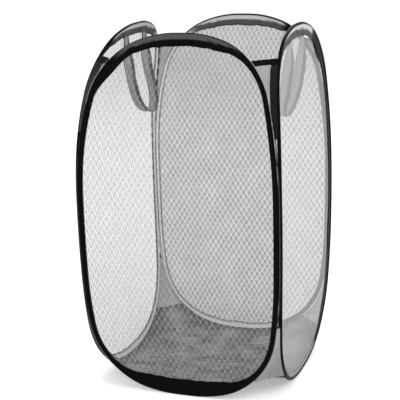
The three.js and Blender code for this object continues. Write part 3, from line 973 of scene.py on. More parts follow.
@dataclass
class Sleeve:
    """Tape folded round a wire loop, with two legs that hold the edge of the net."""

    shape: HamperShape
    side: Side
    side_reach: float = 5.6 * MILLIMETRE
    crown_reach: float = 18.0 * MILLIMETRE
    bottom_reach: float = 10.0 * MILLIMETRE
    front_bottom_reach: float = 27.0 * MILLIMETRE
    least_gap: float = 0.7 * MILLIMETRE
    far_reach: float = 11.0 * MILLIMETRE
    leg: float = 1.15 * MILLIMETRE
    thickness: float = 0.5 * MILLIMETRE
    pucker: float = 0.9 * MILLIMETRE
    step: float = 3.5 * MILLIMETRE
    wrap_angle: float = 138.0
    arc_points: int = 8
    leg_points: int = 6
    root_share: float = 1.75
    hem_band: tuple[float, float] = (12.0 * MILLIMETRE, 10.5 * MILLIMETRE)
    inner_start: float = 3.9 * MILLIMETRE
    lower_start: float = 7.2 * MILLIMETRE
    upper_start: float = 5.0 * MILLIMETRE
    front_upper_start: float = 2.6 * MILLIMETRE
    fade: float = 0.7 * MILLIMETRE
    turned_edge: tuple[float, float] = (4.0 * MILLIMETRE, 4.6 * MILLIMETRE)
    waver: float = 0.7 * MILLIMETRE
    slack_spread: float = 24.0
    bottom_zone: float = 0.1
    outer_hem_shift: float = 10.0 * MILLIMETRE

    def section(self, reach: np.ndarray) -> tuple[np.ndarray, np.ndarray]:
        """Runs the tape's section from the outer leg's edge to the inner one's.

        Args:
            reach: how deep the legs are at each place of the loop.

        Returns:
            Distance outwards and distance from the middle plane, for each place.
        """
        radius = self.shape.tube_radius - self.thickness / 2.0
        arc = np.radians(np.linspace(self.wrap_angle, 0.0, self.arc_points))
        root = self.root_share * radius
        share = np.linspace(1.0, 0.0, self.leg_points)[None, :]
        leg_out = -(root + (reach[:, None] - root) * share)
        leg_n = np.full_like(leg_out, self.leg)
        arc_out = np.broadcast_to(radius * np.cos(arc), (len(reach), len(arc)))
        arc_n = np.broadcast_to(radius * np.sin(arc), (len(reach), len(arc)))
        out = np.concatenate([leg_out, arc_out], 1)
        n = np.concatenate([leg_n, arc_n], 1)
        return np.concatenate([out, out[:, -2::-1]], 1), np.concatenate([n, -n[:, -2::-1]], 1)

    def pale(self, angle: np.ndarray, across: np.ndarray, edge: np.ndarray) -> np.ndarray:
        """How sheer the tape is, with a painted sheen along the top arcs, by place.

        Args:
            angle: outward angle of the loop.
            across: distance from the tape's crest, over zero outside the hamper.
            edge: distance of the tape's own edge from its crest, on this side.

        Returns:
            Zero for black to one for sheer grey, which along the top arcs is partly painted sheen.
        """
        lift = np.sin(angle)
        top, bottom = smooth(0.70, 0.90, lift), smooth(0.74, 0.92, -lift)
        hem = smooth(edge - self.hem_band[0], edge - self.hem_band[1], np.abs(across))
        upper = self.front_upper_start if self.side is Side.FRONT else self.upper_start
        outer = np.where(lift < 0.0, self.lower_start, upper)
        start = np.where(across < 0.0, self.inner_start, outer)
        crest = smooth(start, start + self.fade, np.abs(across))
        # Painted sheen: the outside is paler along the top arcs, as if lit from above; on the front this is
        # only a faint painted highlight
        if self.side is Side.FRONT:
            outside = 0.11 * top * (1.0 - hem)
        else:
            outside = top * (1.0 - 0.9 * hem) + 0.5 * bottom
        inside = np.clip(1.0 - 0.9 * top * hem, 0.0, 1.0)
        return crest * np.where(across > 0.0, outside, inside) * (1.0 - self.dark(angle))

    def dark(self, angle: np.ndarray) -> np.ndarray:
        """How black the whole tape is for being at the panel's dark edge, by place."""
        return smooth(0.30, 0.45, DARK_EDGE[self.side] * np.cos(angle))

    def light(self, angle: np.ndarray, across: np.ndarray) -> np.ndarray:
        """How much of the inner leg is covered by the turned edge of the net, by place.

        Args:
            angle: outward angle of the loop.
            across: distance from the tape's crest, over zero outside the hamper.

        Returns:
            Zero for bare tape to one for covered.
        """
        low = smooth(0.70, 0.45, np.sin(angle))
        return smooth(*self.turned_edge, -across) * low * (1.0 - self.dark(angle))

    def build(self, finishes: Finishes) -> bpy.types.Object:
        """Makes the sleeve and lets it move with its panel.

        Args:
            finishes: the hamper's materials.

        Returns:
            The sleeve.
        """
        rows = self.shape.loop(self.step)
        u, z, angle, length = rows.T
        bend = np.abs(np.sin(angle)) ** 6
        seed = 20 + self.side.value
        waver = Ripple(seed, (0.083, 0.041, 0.023)).at(length) * bend * self.waver
        lower = self.front_bottom_reach if self.side is Side.FRONT else self.bottom_reach
        crown = np.where(z < self.bottom_zone, lower, self.crown_reach)
        reach = self.side_reach + (crown - self.side_reach) * bend + waver
        slack, middle_angle = SLACK[self.side]
        reach = reach + slack * np.exp(-(((np.degrees(angle) - middle_angle) / self.slack_spread) ** 2))
        if self.side is Side.RIGHT:
            reach = reach + self.far_reach * smooth(0.3, 0.9, np.cos(angle))
        out, n = self.section(reach)
        flat = self.laid(u, z, angle, out, n)
        steps = np.linalg.norm(np.diff(np.stack([out, n], -1), axis=1), axis=-1)
        across = np.concatenate([np.zeros((len(out), 1)), np.cumsum(steps, 1)], 1)
        middle = out.shape[1] // 2
        across = across[:, middle : middle + 1] - across
        edge = np.where(across > 0.0, across[:, :1], -across[:, -1:])
        root = self.root_share * self.shape.tube_radius
        depth = np.clip((-out - root) / self.crown_reach, 0.0, 1.0)
        folds = Ripple(seed + 10, (0.031, 0.019, 0.0127, 0.0091)).at(length)[:, None]
        lift = folds * depth * self.pucker * (0.6 if self.side is Side.FRONT else 1.4)
        least = np.minimum(np.abs(n), self.least_gap)
        lifted = np.where(n > 0.0, np.maximum(n + lift, least), np.minimum(n + lift, -least))
        points = self.laid(u, z, angle, out, lifted)
        cloth = np.stack([np.broadcast_to(length[:, None], across.shape), across], -1)
        total = float(length[-1] + np.linalg.norm(rows[0, :2] - rows[-1, :2]))
        numbers = {
            SHEER_AND_SHEEN: self.pale(angle[:, None], across, edge),
            LIGHT: self.light(angle[:, None], across),
            HEM: edge - np.abs(across) + self.outer_hem_shift * (across > 0.0),
        }
        grid = Grid(points, cloth, looped=True, loop_length=total, numbers=numbers)
        made = grid.build(f"{self.side.label}_tape_sleeve")
        thicken(made, self.thickness)
        dress(made, finishes.tape)
        area = Grid(flat, cloth, looped=True).area()
        wire = f"{self.side.label}_wire_loop"
        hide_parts(f"{self.side.label}_sleeve")
        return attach(made, self.side.body)

    def laid(
        self, u: np.ndarray, z: np.ndarray, angle: np.ndarray, out: np.ndarray, n: np.ndarray
    ) -> np.ndarray:
        """Carries section points to the hamper.

        Args:
            u: places of the wire along the panel's width.
            z: heights of the wire.
            angle: outward angles of the loop.
            out: distances outwards from the wire.
            n: distances from the middle plane.

        Returns:
            The points on the hamper.
        """
        across = u[:, None] + out * np.cos(angle)[:, None]
        height = z[:, None] + out * np.sin(angle)[:, None]
        return self.shape.drawn_in(self.shape.place(across, n, height, self.side.value))


# Opacity of each side's yarn, and of the sheer middle of its cells; the back's denser cover is painted
# shade, as the real nets are alike
COVERS_AND_SHADE: dict[Side, tuple[float, float]] = {
    Side.FRONT: (0.46, 0.12),
    Side.RIGHT: (0.42, 0.34),
    Side.BACK: (0.94, 0.64),
    Side.LEFT: (0.68, 0.36),
}


@dataclass
class Net:
    """Knitted netting: a sheet of staggered six-sided cells, each with a sheer oval."""

    shape: HamperShape
    side: Side
    pitch: float = 10.6 * MILLIMETRE
    rise: float = 16.8 * MILLIMETRE
    tall_share: float = 0.40
    oval: tuple[float, float] = (0.68, 0.84)
    inset: float = 4.2 * MILLIMETRE
    slack: float = 0.4 * MILLIMETRE
    border_step: float = 2.0 * MILLIMETRE

    def cell(self) -> tuple[np.ndarray, np.ndarray]:
        """Outer ring of one cell about its middle, and the ring of its sheer oval.

        Returns:
            The two rings.
        """
        peak = self.rise * self.tall_share
        shoulder = self.rise / 2.0 - peak
        half = self.pitch / 2.0
        right = [[half, -shoulder], [half, shoulder], [0.0, peak]]
        corners = np.array(right + [[-x, -y] for x, y in right])
        middles = (corners + np.roll(corners, -1, axis=0)) / 2.0
        outer = np.stack([corners, middles], 1).reshape(-1, 2)
        angles = np.arctan2(outer[:, 1] / peak, outer[:, 0] / half)
        wide, tall = half * self.oval[0], peak * self.oval[1]
        return outer, np.stack([np.cos(angles) * wide, np.sin(angles) * tall], 1)

    def centres(self) -> np.ndarray:
        """Middles of all the cells that could lie on the panel.

        Returns:
            The middles, in panel coordinates.
        """
        rows = math.ceil(self.shape.height / self.rise) + 1
        columns = math.ceil(self.shape.plan_width / self.pitch / 2.0) + 1
        made = []
        for row in range(-rows, rows + 1):
            shift = self.pitch / 2.0 if row % 2 else 0.0
            for column in range(-columns, columns + 1):
                made.append((column * self.pitch + shift, self.shape.height / 2.0 + row * self.rise / 2.0))
        return np.array(made)

    def build(self, finishes: Finishes) -> bpy.types.Object:
        """Makes the net and lets it move with its panel.

        Args:
            finishes: the hamper's materials.

        Returns:
            The net.
        """
        rows = self.shape.loop(self.border_step)
        border = rows[:, :2] - self.inset * np.stack([np.cos(rows[:, 2]), np.sin(rows[:, 2])], 1)
        right = border[: len(border) // 2]
        tree = kdtree.KDTree(len(border))
        for i, (u, z) in enumerate(border):
            tree.insert((u, z, 0.0), i)
        tree.balance()

        def inside(points: np.ndarray) -> np.ndarray:
            """Whether each point lies within the border."""
            width = np.interp(points[..., 1], right[:, 1], right[:, 0], left=-1.0, right=-1.0)
            return np.abs(points[..., 0]) < width

        outer, inner = self.cell()
        cells = self.centres()[:, None, :] + np.concatenate([outer, inner])[None]
        cells = cells[inside(cells).any(axis=1)]
        places, numbers = np.unique(np.round(cells.reshape(-1, 2), 7), axis=0, return_inverse=True)
        numbers = numbers.reshape(cells.shape[:2])
        for k in np.flatnonzero(~inside(places)):
            places[k] = border[tree.find((places[k, 0], places[k, 1], 0.0))[1]]
        count = len(outer)
        faces = []
        for cell in numbers:
            for i in range(count):
                j = (i + 1) % count
                faces.append((cell[i], cell[j], cell[count + j], cell[count + i]))
        veils = [tuple(cell[count:]) for cell in numbers]
        corners = places[np.concatenate([np.ravel(faces), np.ravel(veils)])]
        waves = np.sin(places[:, 0] * 61.0 + self.side.value)
        slack = self.slack * waves * np.sin(places[:, 1] * 37.0)
        points = self.shape.drawn_in(self.shape.place(places[:, 0], slack, places[:, 1], self.side.value))
        made = mesh_object(f"{self.side.label}_netting", points, faces + veils, corners)
        # Per-side cover; on the back its extra density is painted shade
        yarn, cell = COVERS_AND_SHADE[self.side]
        cover = made.data.attributes.new(COVER, "FLOAT", "FACE")
        cover.data.foreach_set("value", [yarn] * len(faces) + [cell] * len(veils))
        drop_slivers(made)
        # The right side takes the lighter copy of the netting, as painted light
        dress(made, finishes.pale_net if self.side is Side.RIGHT else finishes.net)
        area = polygon_area(border)
        sleeve = f"{self.side.label}_tape_sleeve"
        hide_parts(f"{self.side.label}_net")
        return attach(made, self.side.body)


def polygon_area(ring: np.ndarray) -> float:
    """Area inside a ring of flat points."""
    after = np.roll(ring, -1, axis=0)
    return float(abs((ring[:, 0] * after[:, 1] - ring[:, 1] * after[:, 0]).sum()) / 2.0)


def drop_slivers(made: bpy.types.Object) -> None:
    """Joins points that lie together and removes the faces that this leaves without area.

    Args:
        made: the piece to clean.
    """
    shell = bmesh.new()
    shell.from_mesh(made.data)
    bmesh.ops.remove_doubles(shell, verts=shell.verts, dist=0.05 * MILLIMETRE)
    bmesh.ops.dissolve_degenerate(shell, edges=shell.edges, dist=0.01 * MILLIMETRE)
    shell.to_mesh(made.data)
    shell.free()


@dataclass
class Gusset:
    """Nylon triangle that closes the gap between two loops above or below a seam."""

    shape: HamperShape
    corner: Corner
    upper: bool
    start_angle: float = 4.6
    sag: float = 2.0 * MILLIMETRE
    fold: float = 1.5 * MILLIMETRE
    bands: tuple[float, ...] = tuple(width * MILLIMETRE for width in (13.0, 34.0, 6.0, 34.0))
    low_bands: tuple[float, ...] = (0.0, 0.0, 0.0, 26.0 * MILLIMETRE)
    top_end_angle: float = 42.0
    bottom_end_angle: float = 46.0
    clearance: float = 0.85 * MILLIMETRE
    thickness: float = 0.3 * MILLIMETRE
    rows: int = 34
    columns: int = 30
    tape_drop: float = 7.0 * MILLIMETRE
    tape_half: float = 0.75 * MILLIMETRE
    tape_crest: float = 0.6 * MILLIMETRE
    tape_thickness: float = 0.45 * MILLIMETRE
    tape_pull: float = 0.035
    tape_margin: float = 6.0 * MILLIMETRE
    tape_columns: int = 24

    @property
    def end_angle(self) -> float:
        """Angle of the loop where the gusset's free edge lies, in degrees."""
        return self.top_end_angle if self.upper else self.bottom_end_angle

    @property
    def label(self) -> str:
        """Name of the frame node that the gusset stands for."""
        return f"{self.corner.label}_{'top' if self.upper else 'bottom'}_gusset"

    def ends(self, angles: np.ndarray) -> tuple[np.ndarray, np.ndarray]:
        """The two loops' edges at the front right corner, for angles in radians.

        Args:
            angles: places on the loops' quarters.

        Returns:
            The edge on the corner's first loop and the edge on its second.
        """
        quarter = self.shape.top if self.upper else self.shape.bottom
        u, z, angle = self.shape.on_loop(quarter.at(angles), self.upper)
        out = self.shape.tube_radius + self.clearance
        u, z = u + out * np.cos(angle), z + out * np.sin(angle)
        return self.shape.place(u, 0.0, z), self.shape.place(-u, 0.0, z, 1)

    def surface(self, angles: np.ndarray, columns: int) -> np.ndarray:
        """Points over the gusset at the front right corner, row by row from its apex.

        Args:
            angles: places of the rows on the loops' quarters.
            columns: how many points a row has.

        Returns:
            The points.
        """
        first, second = self.ends(angles)
        share = np.linspace(0.0, 1.0, columns)[None, :, None]
        flat = first[:, None] * (1.0 - share) + second[:, None] * share
        down = (angles - angles.min()) / max(float(np.ptp(angles)), 1e-9) if len(angles) > 1 else np.ones(1)
        belly = np.sin(math.pi * share[..., 0])
        ripple = Ripple(60 + self.corner.value + 4 * self.upper, (0.021, 0.0132, 0.0083))
        spread = (share[..., 0] - 0.5) * np.linalg.norm(second - first, axis=1)[:, None]
        depth = -self.sag * belly * down[:, None] + self.fold * belly * down[:, None] * ripple.at(spread)
        return flat + depth[..., None] * OUTWARD

    def build(self, finishes: Finishes) -> list[bpy.types.Object]:
        """Makes the gusset, with its tape if it is an upper one.

        Args:
            finishes: the hamper's materials.

        Returns:
            The pieces.
        """
        angles = np.radians(np.linspace(self.start_angle, self.end_angle, self.rows))
        points = self.surface(angles, self.columns)
        chord = np.linalg.norm(points[:, -1] - points[:, 0], axis=1)
        rise = np.abs(points[:, 0, 2] - points[0, 0, 2])
        share = np.linspace(-0.5, 0.5, self.columns)
        cloth = np.stack([chord[:, None] * share, np.broadcast_to(rise[:, None], points.shape[:2])], -1)
        from_side = 0.5 - share if self.corner.sides[1] in (Side.RIGHT, Side.LEFT) else 0.5 + share
        bands = self.bands if self.upper else self.low_bands
        band = {BAND: bands[self.corner.value] - chord[:, None] * from_side}
        grid = Grid(self.shape.set_up(points, self.corner), cloth, numbers=band)
        made = grid.build(f"{self.label}_cloth")
        thicken(made, self.thickness)
        front = self.corner in (Corner.FRONT_RIGHT, Corner.FRONT_LEFT)
        # The front corners take the darker copy of the nylon, as painted shade
        dress(made, finishes.shaded_front_gusset if front else finishes.gusset)
        loops = [f"{side.label}_tape_sleeve" for side in self.corner.sides]
        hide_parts(self.label)
        pieces = [made]
        if self.upper:
            pieces.append(self.tape(angles[-1], finishes))
        first, second = (self.shape.set_up(end, self.corner)[0] for end in self.ends(angles[-1:]))
        for piece in pieces:
            self.hold(piece)
        return pieces

    def tape(self, top: float, finishes: Finishes) -> bpy.types.Object:
        """Makes the binding tape folded over the free edge.

        Args:
            top: angle of the loops where the free edge lies, in radians.
            finishes: the hamper's materials.

        Returns:
            The binding.
        """
        drop, crest = self.tape_drop, self.tape_crest
        across = np.array([-1.0, -1.0, -1.0, -1.0, -0.7, 0.0, 0.7, 1.0, 1.0, 1.0, 1.0]) * self.tape_half
        leg = [-drop, -0.66 * drop, -0.33 * drop, 0.0, 0.8 * crest]
        down = np.array([*leg, crest, *leg[::-1]])
        line = self.shape.top.line(0.5 * MILLIMETRE)
        rise = np.interp(top, line[:, 2], line[:, 1])
        angles = np.interp(rise + np.minimum(down, 0.0), line[:, 1], line[:, 2])
        every = np.radians(np.linspace(self.start_angle, self.end_angle, self.rows))
        sheet = self.surface(every, self.tape_columns)
        strips = np.empty((len(down), self.tape_columns, 3))
        for column in range(self.tape_columns):
            for k in range(3):
                strips[:, column, k] = np.interp(angles, every, sheet[:, column, k])
        pull = np.linspace(0.97, -0.97, self.tape_columns)[None, :, None]
        middle = strips.mean(axis=1, keepdims=True)
        strips = strips + (middle - strips) * np.abs(pull) ** 8 * self.tape_pull
        strips = strips + across[:, None, None] * OUTWARD
        strips[..., 2] += np.maximum(down, 0.0)[:, None]
        top_row = len(leg)
        length = np.linalg.norm(strips[top_row, -1] - strips[top_row, 0])
        run = np.linspace(0.0, length, self.tape_columns)
        width = np.concatenate([[0.0], np.cumsum(np.hypot(np.diff(across), np.diff(down)))])
        over = (width - width[top_row])[:, None] + self.tape_margin
        cloth = np.stack(np.broadcast_arrays(run[None, :], over), -1)
        black = np.zeros(strips.shape[:2])
        plain = {SHEER_AND_SHEEN: black, LIGHT: black, HEM: black + 1.0}
        grid = Grid(self.shape.set_up(strips, self.corner), cloth, numbers=plain)
        made = grid.build(f"{self.corner.label}_gusset_binding")
        thicken(made, self.tape_thickness)
        dress(made, finishes.tape)
        f"{self.label}_cloth"
        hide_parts(f"{self.corner.label}_gusset_tape")
        return made

    def hold(self, piece: bpy.types.Object) -> None:
        """Attaches a piece to its first panel at the back right corner, and elsewhere bakes its place into
        its mesh.

        Args:
            piece: the gusset or its binding.
        """
        near, far = self.corner.sides
        if self.corner is Corner.BACK_RIGHT:
            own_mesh(piece)
            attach(piece, near.body)
        else:
            near.body
            far.body
            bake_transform(piece)


@dataclass
class Floor:
    """Loose nylon floor, cut in two where it creases as the hamper folds."""

    shape: HamperShape
    end_angle: float = 46.0
    lowest: float = 2.0 * MILLIMETRE
    crease_height: float = 4.5 * MILLIMETRE
    creases: int = 46
    crease_lengths: tuple[float, float] = (0.04, 0.13)
    crease_widths: tuple[float, float] = (0.004, 0.016)
    crease_spread: float = 0.15
    crease_bend: float = 9.0
    inset: float = 0.5 * MILLIMETRE
    thickness: float = 0.35 * MILLIMETRE
    along: int = 150
    over: int = 64

    def edge(self) -> np.ndarray:
        """Edge of the floor at the front, from left to right.

        Returns:
            The points, from the front left corner to the front right one.
        """
        inside = -(self.shape.tube_radius + self.inset)
        angles = np.radians(np.linspace(self.end_angle, 90.0, 40))
        u, z, _ = self.shape.on_loop(self.shape.bottom.at(angles), False)
        right = self.shape.place(u, inside, z)[::-1]
        left = right[::-1] * np.array([-1.0, 1.0, 1.0])
        return np.concatenate([left, right])

    def ring(self) -> np.ndarray:
        """Edge of the whole floor, anticlockwise from the front left corner."""
        edge = self.edge()
        return np.concatenate([turned(edge, turns) for turns in range(4)])

    def height_at(self, points: np.ndarray, ring: np.ndarray) -> np.ndarray:
        """Height of the rumpled sheet over flat points.

        Args:
            points: places on the floor.
            ring: the floor's edge.

        Returns:
            The heights.
        """
        order = np.argsort(np.arctan2(ring[:, 1], ring[:, 0]))
        around = np.arctan2(ring[order, 1], ring[order, 0])
        angle = np.arctan2(points[..., 1], points[..., 0])
        radius = np.interp(angle, around, np.hypot(ring[order, 0], ring[order, 1]), period=2.0 * math.pi)
        rim = np.interp(angle, around, ring[order, 2], period=2.0 * math.pi)
        share = np.clip(np.hypot(points[..., 0], points[..., 1]) / radius, 0.0, 1.0)
        dish = self.lowest + (rim - self.lowest) * share**4
        return dish + self.crumple(points) * (1.0 - share**6)

    def crumple(self, points: np.ndarray) -> np.ndarray:
        """Height of sharp creases and soft swells over flat points, never under zero.

        Args:
            points: places on the floor.

        Returns:
            The heights.
        """
        draw = np.random.default_rng(7)
        height = np.zeros(points.shape[:-1])
        for _ in range(self.creases):
            middle = draw.uniform(-self.crease_spread, self.crease_spread, 2)
            heading = draw.uniform(0.0, math.pi)
            length, width = draw.uniform(*self.crease_lengths), draw.uniform(*self.crease_widths)
            along = np.array([math.cos(heading), math.sin(heading)])
            offset = points[..., :2] - middle
            run = offset @ along
            bent = self.crease_bend * run**2 * draw.uniform(-0.4, 0.4)
            away = offset @ np.array([-along[1], along[0]]) + bent
            ridge = np.exp(-np.abs(away) / width) * smooth(1.0, 0.2, np.abs(run) / length)
            height += ridge * draw.uniform(0.25, 1.0) * self.crease_height * 0.6
        x, y = points[..., 0], points[..., 1]
        swell = np.sin(31.0 * x + 1.3) * np.sin(27.0 * y + 0.4) + 0.6 * np.sin(64.0 * x - 35.0 * y)
        return height + (swell + 1.6) * 0.35 * self.crease_height

    def half(self, ring: np.ndarray, start: int) -> np.ndarray:
        """Grid over half the floor, from its diagonal to its edge, starting at a corner's middle.

        Args:
            ring: the floor's edge.
            start: number of the corner that the half starts at.

        Returns:
            The points, from the diagonal outwards.
        """
        size = len(ring) // 4
        run = np.concatenate([ring, ring])[start * size : start * size + 2 * size]
        first = (ring[(start * size) % len(ring)] + ring[(start * size - 1) % len(ring)]) / 2.0
        last = (run[-1] + np.concatenate([ring, ring])[start * size + 2 * size]) / 2.0
        run = np.concatenate([[first], run, [last]])
        steps = np.concatenate([[0.0], np.cumsum(np.linalg.norm(np.diff(run[:, :2], axis=0), axis=1))])
        shares = np.linspace(0.0, 1.0, self.along + 1)
        edge = np.stack([np.interp(shares, steps / steps[-1], run[:, k]) for k in range(3)], -1)
        diagonal = first * (1.0 - shares[:, None]) + last * shares[:, None]
        over = np.linspace(0.0, 1.0, self.over + 1)[None, :, None]
        flat = diagonal[:, None] * (1.0 - over) + edge[:, None] * over
        flat[..., 2] = self.height_at(flat, ring)
        return flat

    def build(self, finishes: Finishes) -> list[bpy.types.Object]:
        """Makes both halves; each stays with one panel.

        Args:
            finishes: the hamper's materials.

        Returns:
            The two halves.
        """
        ring = self.ring()
        pieces = []
        halves = (("floor_front_half", 0, Side.FRONT), ("floor_back_half", 2, Side.BACK))
        for name, start, side in halves:
            points = self.half(ring, start)
            cloth = points[..., :2].copy()
            made = Grid(points, cloth).build(name)
            thicken(made, self.thickness)
            dress(made, finishes.floor)
            low, high = points[..., :2].min(axis=(0, 1)), points[..., :2].max(axis=(0, 1))
            boundary = np.concatenate([points[:, -1, :2], points[::-1, 0, :2]])
            width, length = (float(x) for x in high - low)
            area = max(polygon_area(boundary), 0.31 * width * length)
            f"{side.label}_tape_sleeve"
            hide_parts("floor_sheet")
            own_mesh(made)
            pieces.append(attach(made, side.body))
        return pieces


@dataclass
class Seam:
    """Twisted cord of thread sewn down the valley between two sleeves."""

    shape: HamperShape
    corner: Corner
    radius: float = 1.0 * MILLIMETRE
    clearance: float = 0.3 * MILLIMETRE
    bottom_angle: float = 5.2
    top_angle: float = 4.8
    lay: float = 7.0 * MILLIMETRE
    step: float = 0.9 * MILLIMETRE
    sides: int = 12

    def build(self, finishes: Finishes) -> bpy.types.Object:
        """Makes the cord and lets it move with one of its panels.

        Args:
            finishes: the hamper's materials.

        Returns:
            The cord.
        """
        shape = self.shape
        ends = []
        stops = ((shape.bottom, False, self.bottom_angle), (shape.top, True, self.top_angle))
        for quarter, upper, angle in stops:
            ends.append(shape.on_loop(quarter.at(np.radians([angle])), upper)[1][0])
        z = np.linspace(ends[0], ends[1], math.ceil((ends[1] - ends[0]) / self.step))
        loop = shape.loop(2.0 * MILLIMETRE)
        right = loop[: len(loop) // 2]
        u = np.interp(z, right[:, 1], right[:, 0])
        first, second = shape.place(u, 0.0, z), shape.place(-u, 0.0, z, 1)
        touch = shape.tube_radius + self.radius + self.clearance
        half = np.linalg.norm(second - first, axis=1) / 2.0
        valley = np.sqrt(np.maximum(touch**2 - half**2, 0.0))
        centre = (first + second) / 2.0 + valley[:, None] * OUTWARD
        around = np.linspace(0.0, 2.0 * math.pi, self.sides, endpoint=False)
        twist = 2.0 * math.pi * (z - z[0]) / self.lay
        size = self.radius * (0.72 + 0.28 * np.abs(np.cos(around[None, :] - twist[:, None])))
        beside = np.array([-OUTWARD[1], OUTWARD[0], 0.0])
        ring = np.cos(around)[:, None] * OUTWARD + np.sin(around)[:, None] * beside
        points = centre[:, None] + size[..., None] * ring[None]
        cloth = np.stack(np.broadcast_arrays(z[:, None], (around * self.radius)[None, :]), -1)
        girth = 2.0 * math.pi * self.radius
        grid = Grid(shape.set_up(points, self.corner), cloth, tube=True, tube_length=girth)
        made = grid.build(f"{self.corner.label}_seam_cord")
        dress(made, finishes.thread)
        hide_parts(f"{self.corner.label}_seam")
        owner = Side.FRONT if self.corner in (Corner.FRONT_RIGHT, Corner.FRONT_LEFT) else Side.BACK
        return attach(made, owner.body)


@dataclass
class Handle:
    """Webbing loop that hangs inside a side panel, with the two patches that hold it."""

    shape: HamperShape
    side: Side
    spread: float = 80.0 * MILLIMETRE
    drop: float = 134.0 * MILLIMETRE
    hang: float = 22.0 * MILLIMETRE
    width: float = 18.0 * MILLIMETRE
    thickness: float = 1.6 * MILLIMETRE
    standoff: float = 4.2 * MILLIMETRE
    crown_reach: float = 18.0 * MILLIMETRE
    twist_share: float = 0.55
    patch: tuple[float, float] = (24.0 * MILLIMETRE, 10.0 * MILLIMETRE)
    patch_lift: float = 2.2 * MILLIMETRE
    patch_puff: float = 0.35 * MILLIMETRE
    patch_rise: float = 0.35 * MILLIMETRE
    patch_thickness: float = 0.8 * MILLIMETRE

    @property
    def pivot_height(self) -> float:
        """Height of the line that the handle swings about."""
        return self.shape.height - self.shape.tube_flat - self.crown_reach

    def line(self, count: int = 40) -> np.ndarray:
        """Middle line of the webbing below its pivot, in panel coordinates.

        Args:
            count: how many points an arm has.

        Returns:
            The points.
        """
        bend = self.spread / 2.0
        arm = self.drop - bend
        down = np.linspace(0.0, 1.0, count)[:-1]
        turn = np.linspace(math.pi, 2.0 * math.pi, 2 * count)
        left = np.stack([np.full(len(down), -bend), -arm * down], 1)
        curve = np.stack([bend * np.cos(turn), -arm + bend * np.sin(turn)], 1)
        flat = np.concatenate([left, curve, left[::-1] * np.array([-1.0, 1.0])])
        inwards = self.hang * (flat[:, 1] / self.drop) ** 2
        return np.stack([flat[:, 0], inwards, flat[:, 1]], 1)

    def build(self, finishes: Finishes) -> list[bpy.types.Object]:
        """Makes the webbing and its patches.

        Args:
            finishes: the hamper's materials.

        Returns:
            The webbing and its two patches.
        """
        line = self.line()
        tangent = np.gradient(line, axis=0)
        tangent /= np.linalg.norm(tangent, axis=1, keepdims=True)
        twist = -math.pi / 2.0 * smooth(0.0, self.twist_share, -line[:, 2] / self.drop)
        across = np.stack([np.cos(twist), np.sin(twist), np.zeros(len(line))], 1)
        across -= tangent * (across * tangent).sum(axis=1, keepdims=True)
        across /= np.linalg.norm(across, axis=1, keepdims=True)
        through = np.cross(tangent, across)
        half, thin = self.width / 2.0, self.thickness / 2.0
        side = np.array([-1.0, -0.97, -0.6, 0.0, 0.6, 0.97, 1.0, 0.97, 0.6, 0.0, -0.6, -0.97]) * half
        face = np.array([0.0, 0.8, 1.0, 1.0, 1.0, 0.8, 0.0, -0.8, -1.0, -1.0, -1.0, -0.8]) * thin
        wide = side[None, :, None] * across[:, None]
        thick = face[None, :, None] * through[:, None]
        local = line[:, None] + wide + thick
        pivot = self.shape.place(0.0, -self.standoff, self.pivot_height, self.side.value)
        points = turned(local, self.side.value) + self.shape.drawn_in(pivot)
        steps = np.concatenate([[0.0], np.cumsum(np.linalg.norm(np.diff(line, axis=0), axis=1))])
        far = 1.0 if self.side is Side.RIGHT else -1.0
        cloth = np.stack(np.broadcast_arrays(steps[:, None], far * side[None, :]), -1)
        made = Grid(points, cloth, tube=True).build(f"{self.side.label}_handle_webbing")
        self.cap(made, len(side))
        dress(made, finishes.webbing)
        f"{self.side.label}_tape_sleeve"
        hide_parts(f"{self.side.label}_handle")
        pieces = [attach(made, f"{self.side.label}_handle_loop")]
        for letter, sign in (("a", -1.0), ("b", 1.0)):
            pieces.append(self.patch_piece(letter, sign, finishes))
        return pieces

    @staticmethod
    def cap(made: bpy.types.Object, size: int) -> None:
        """Closes the two ends of the webbing.

        Args:
            made: the webbing.
            size: how many points its section has.
        """
        mesh = made.data
        last = len(mesh.vertices) - size
        points = np.array([v.co for v in mesh.vertices])
        faces = [list(p.vertices) for p in mesh.polygons]
        uv = np.array([d.uv for d in mesh.uv_layers[CLOTH_MAP].data])
        ends = [list(range(size)), [last + k for k in range(size)][::-1]]
        corner_uv = {v: uv[k] for p in mesh.polygons for v, k in zip(p.vertices, p.loop_indices)}
        extra = np.array([corner_uv[v] for end in ends for v in end])
        mesh.clear_geometry()
        mesh.from_pydata(points.tolist(), [], faces + ends)
        layer = mesh.uv_layers.get(CLOTH_MAP) or mesh.uv_layers.new(name=CLOTH_MAP)
        layer.data.foreach_set("uv", np.concatenate([uv, extra]).astype(np.float32).ravel())
        mesh.polygons.foreach_set("use_smooth", [True] * len(faces) + [False, False])
        mesh.update()

    def patch_piece(self, letter: str, sign: float, finishes: Finishes) -> bpy.types.Object:
        """Makes one sewn patch.

        Args:
            letter: letter of the patch in the frame's names.
            sign: which arm it holds, -1 or 1.
            finishes: the hamper's materials.

        Returns:
            The patch.
        """
        half = (self.patch[0] / 2.0, self.patch[1] / 2.0)
        across, up = np.linspace(-1.0, 1.0, 17), np.linspace(-1.0, 1.0, 9)
        grid_u, grid_z = np.meshgrid(across, up)
        corner = np.clip(np.hypot(grid_u**8, grid_z**8), 1.0, None) ** -0.06
        u, z = grid_u * half[0] * corner, grid_z * half[1] * corner
        puff = self.patch_puff * np.sin(grid_u * 9.0) * np.cos(grid_z * 5.0)
        lift = self.patch_lift + puff * (1.0 - grid_z**2)
        height = self.pivot_height + self.patch_rise + half[1] + z
        arm = sign * self.spread / 2.0
        points = self.shape.drawn_in(self.shape.place(arm + u, -lift, height, self.side.value))
        made = Grid(points, np.stack([u, z], -1)).build(f"{self.side.label}_handle_tab_{letter}")
        thicken(made, self.patch_thickness)
        dress(made, finishes.patch)
        f"{self.side.label}_tape_sleeve"
        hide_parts(f"{self.side.label}_handle_patch_{letter}")
        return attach(made, self.side.body)


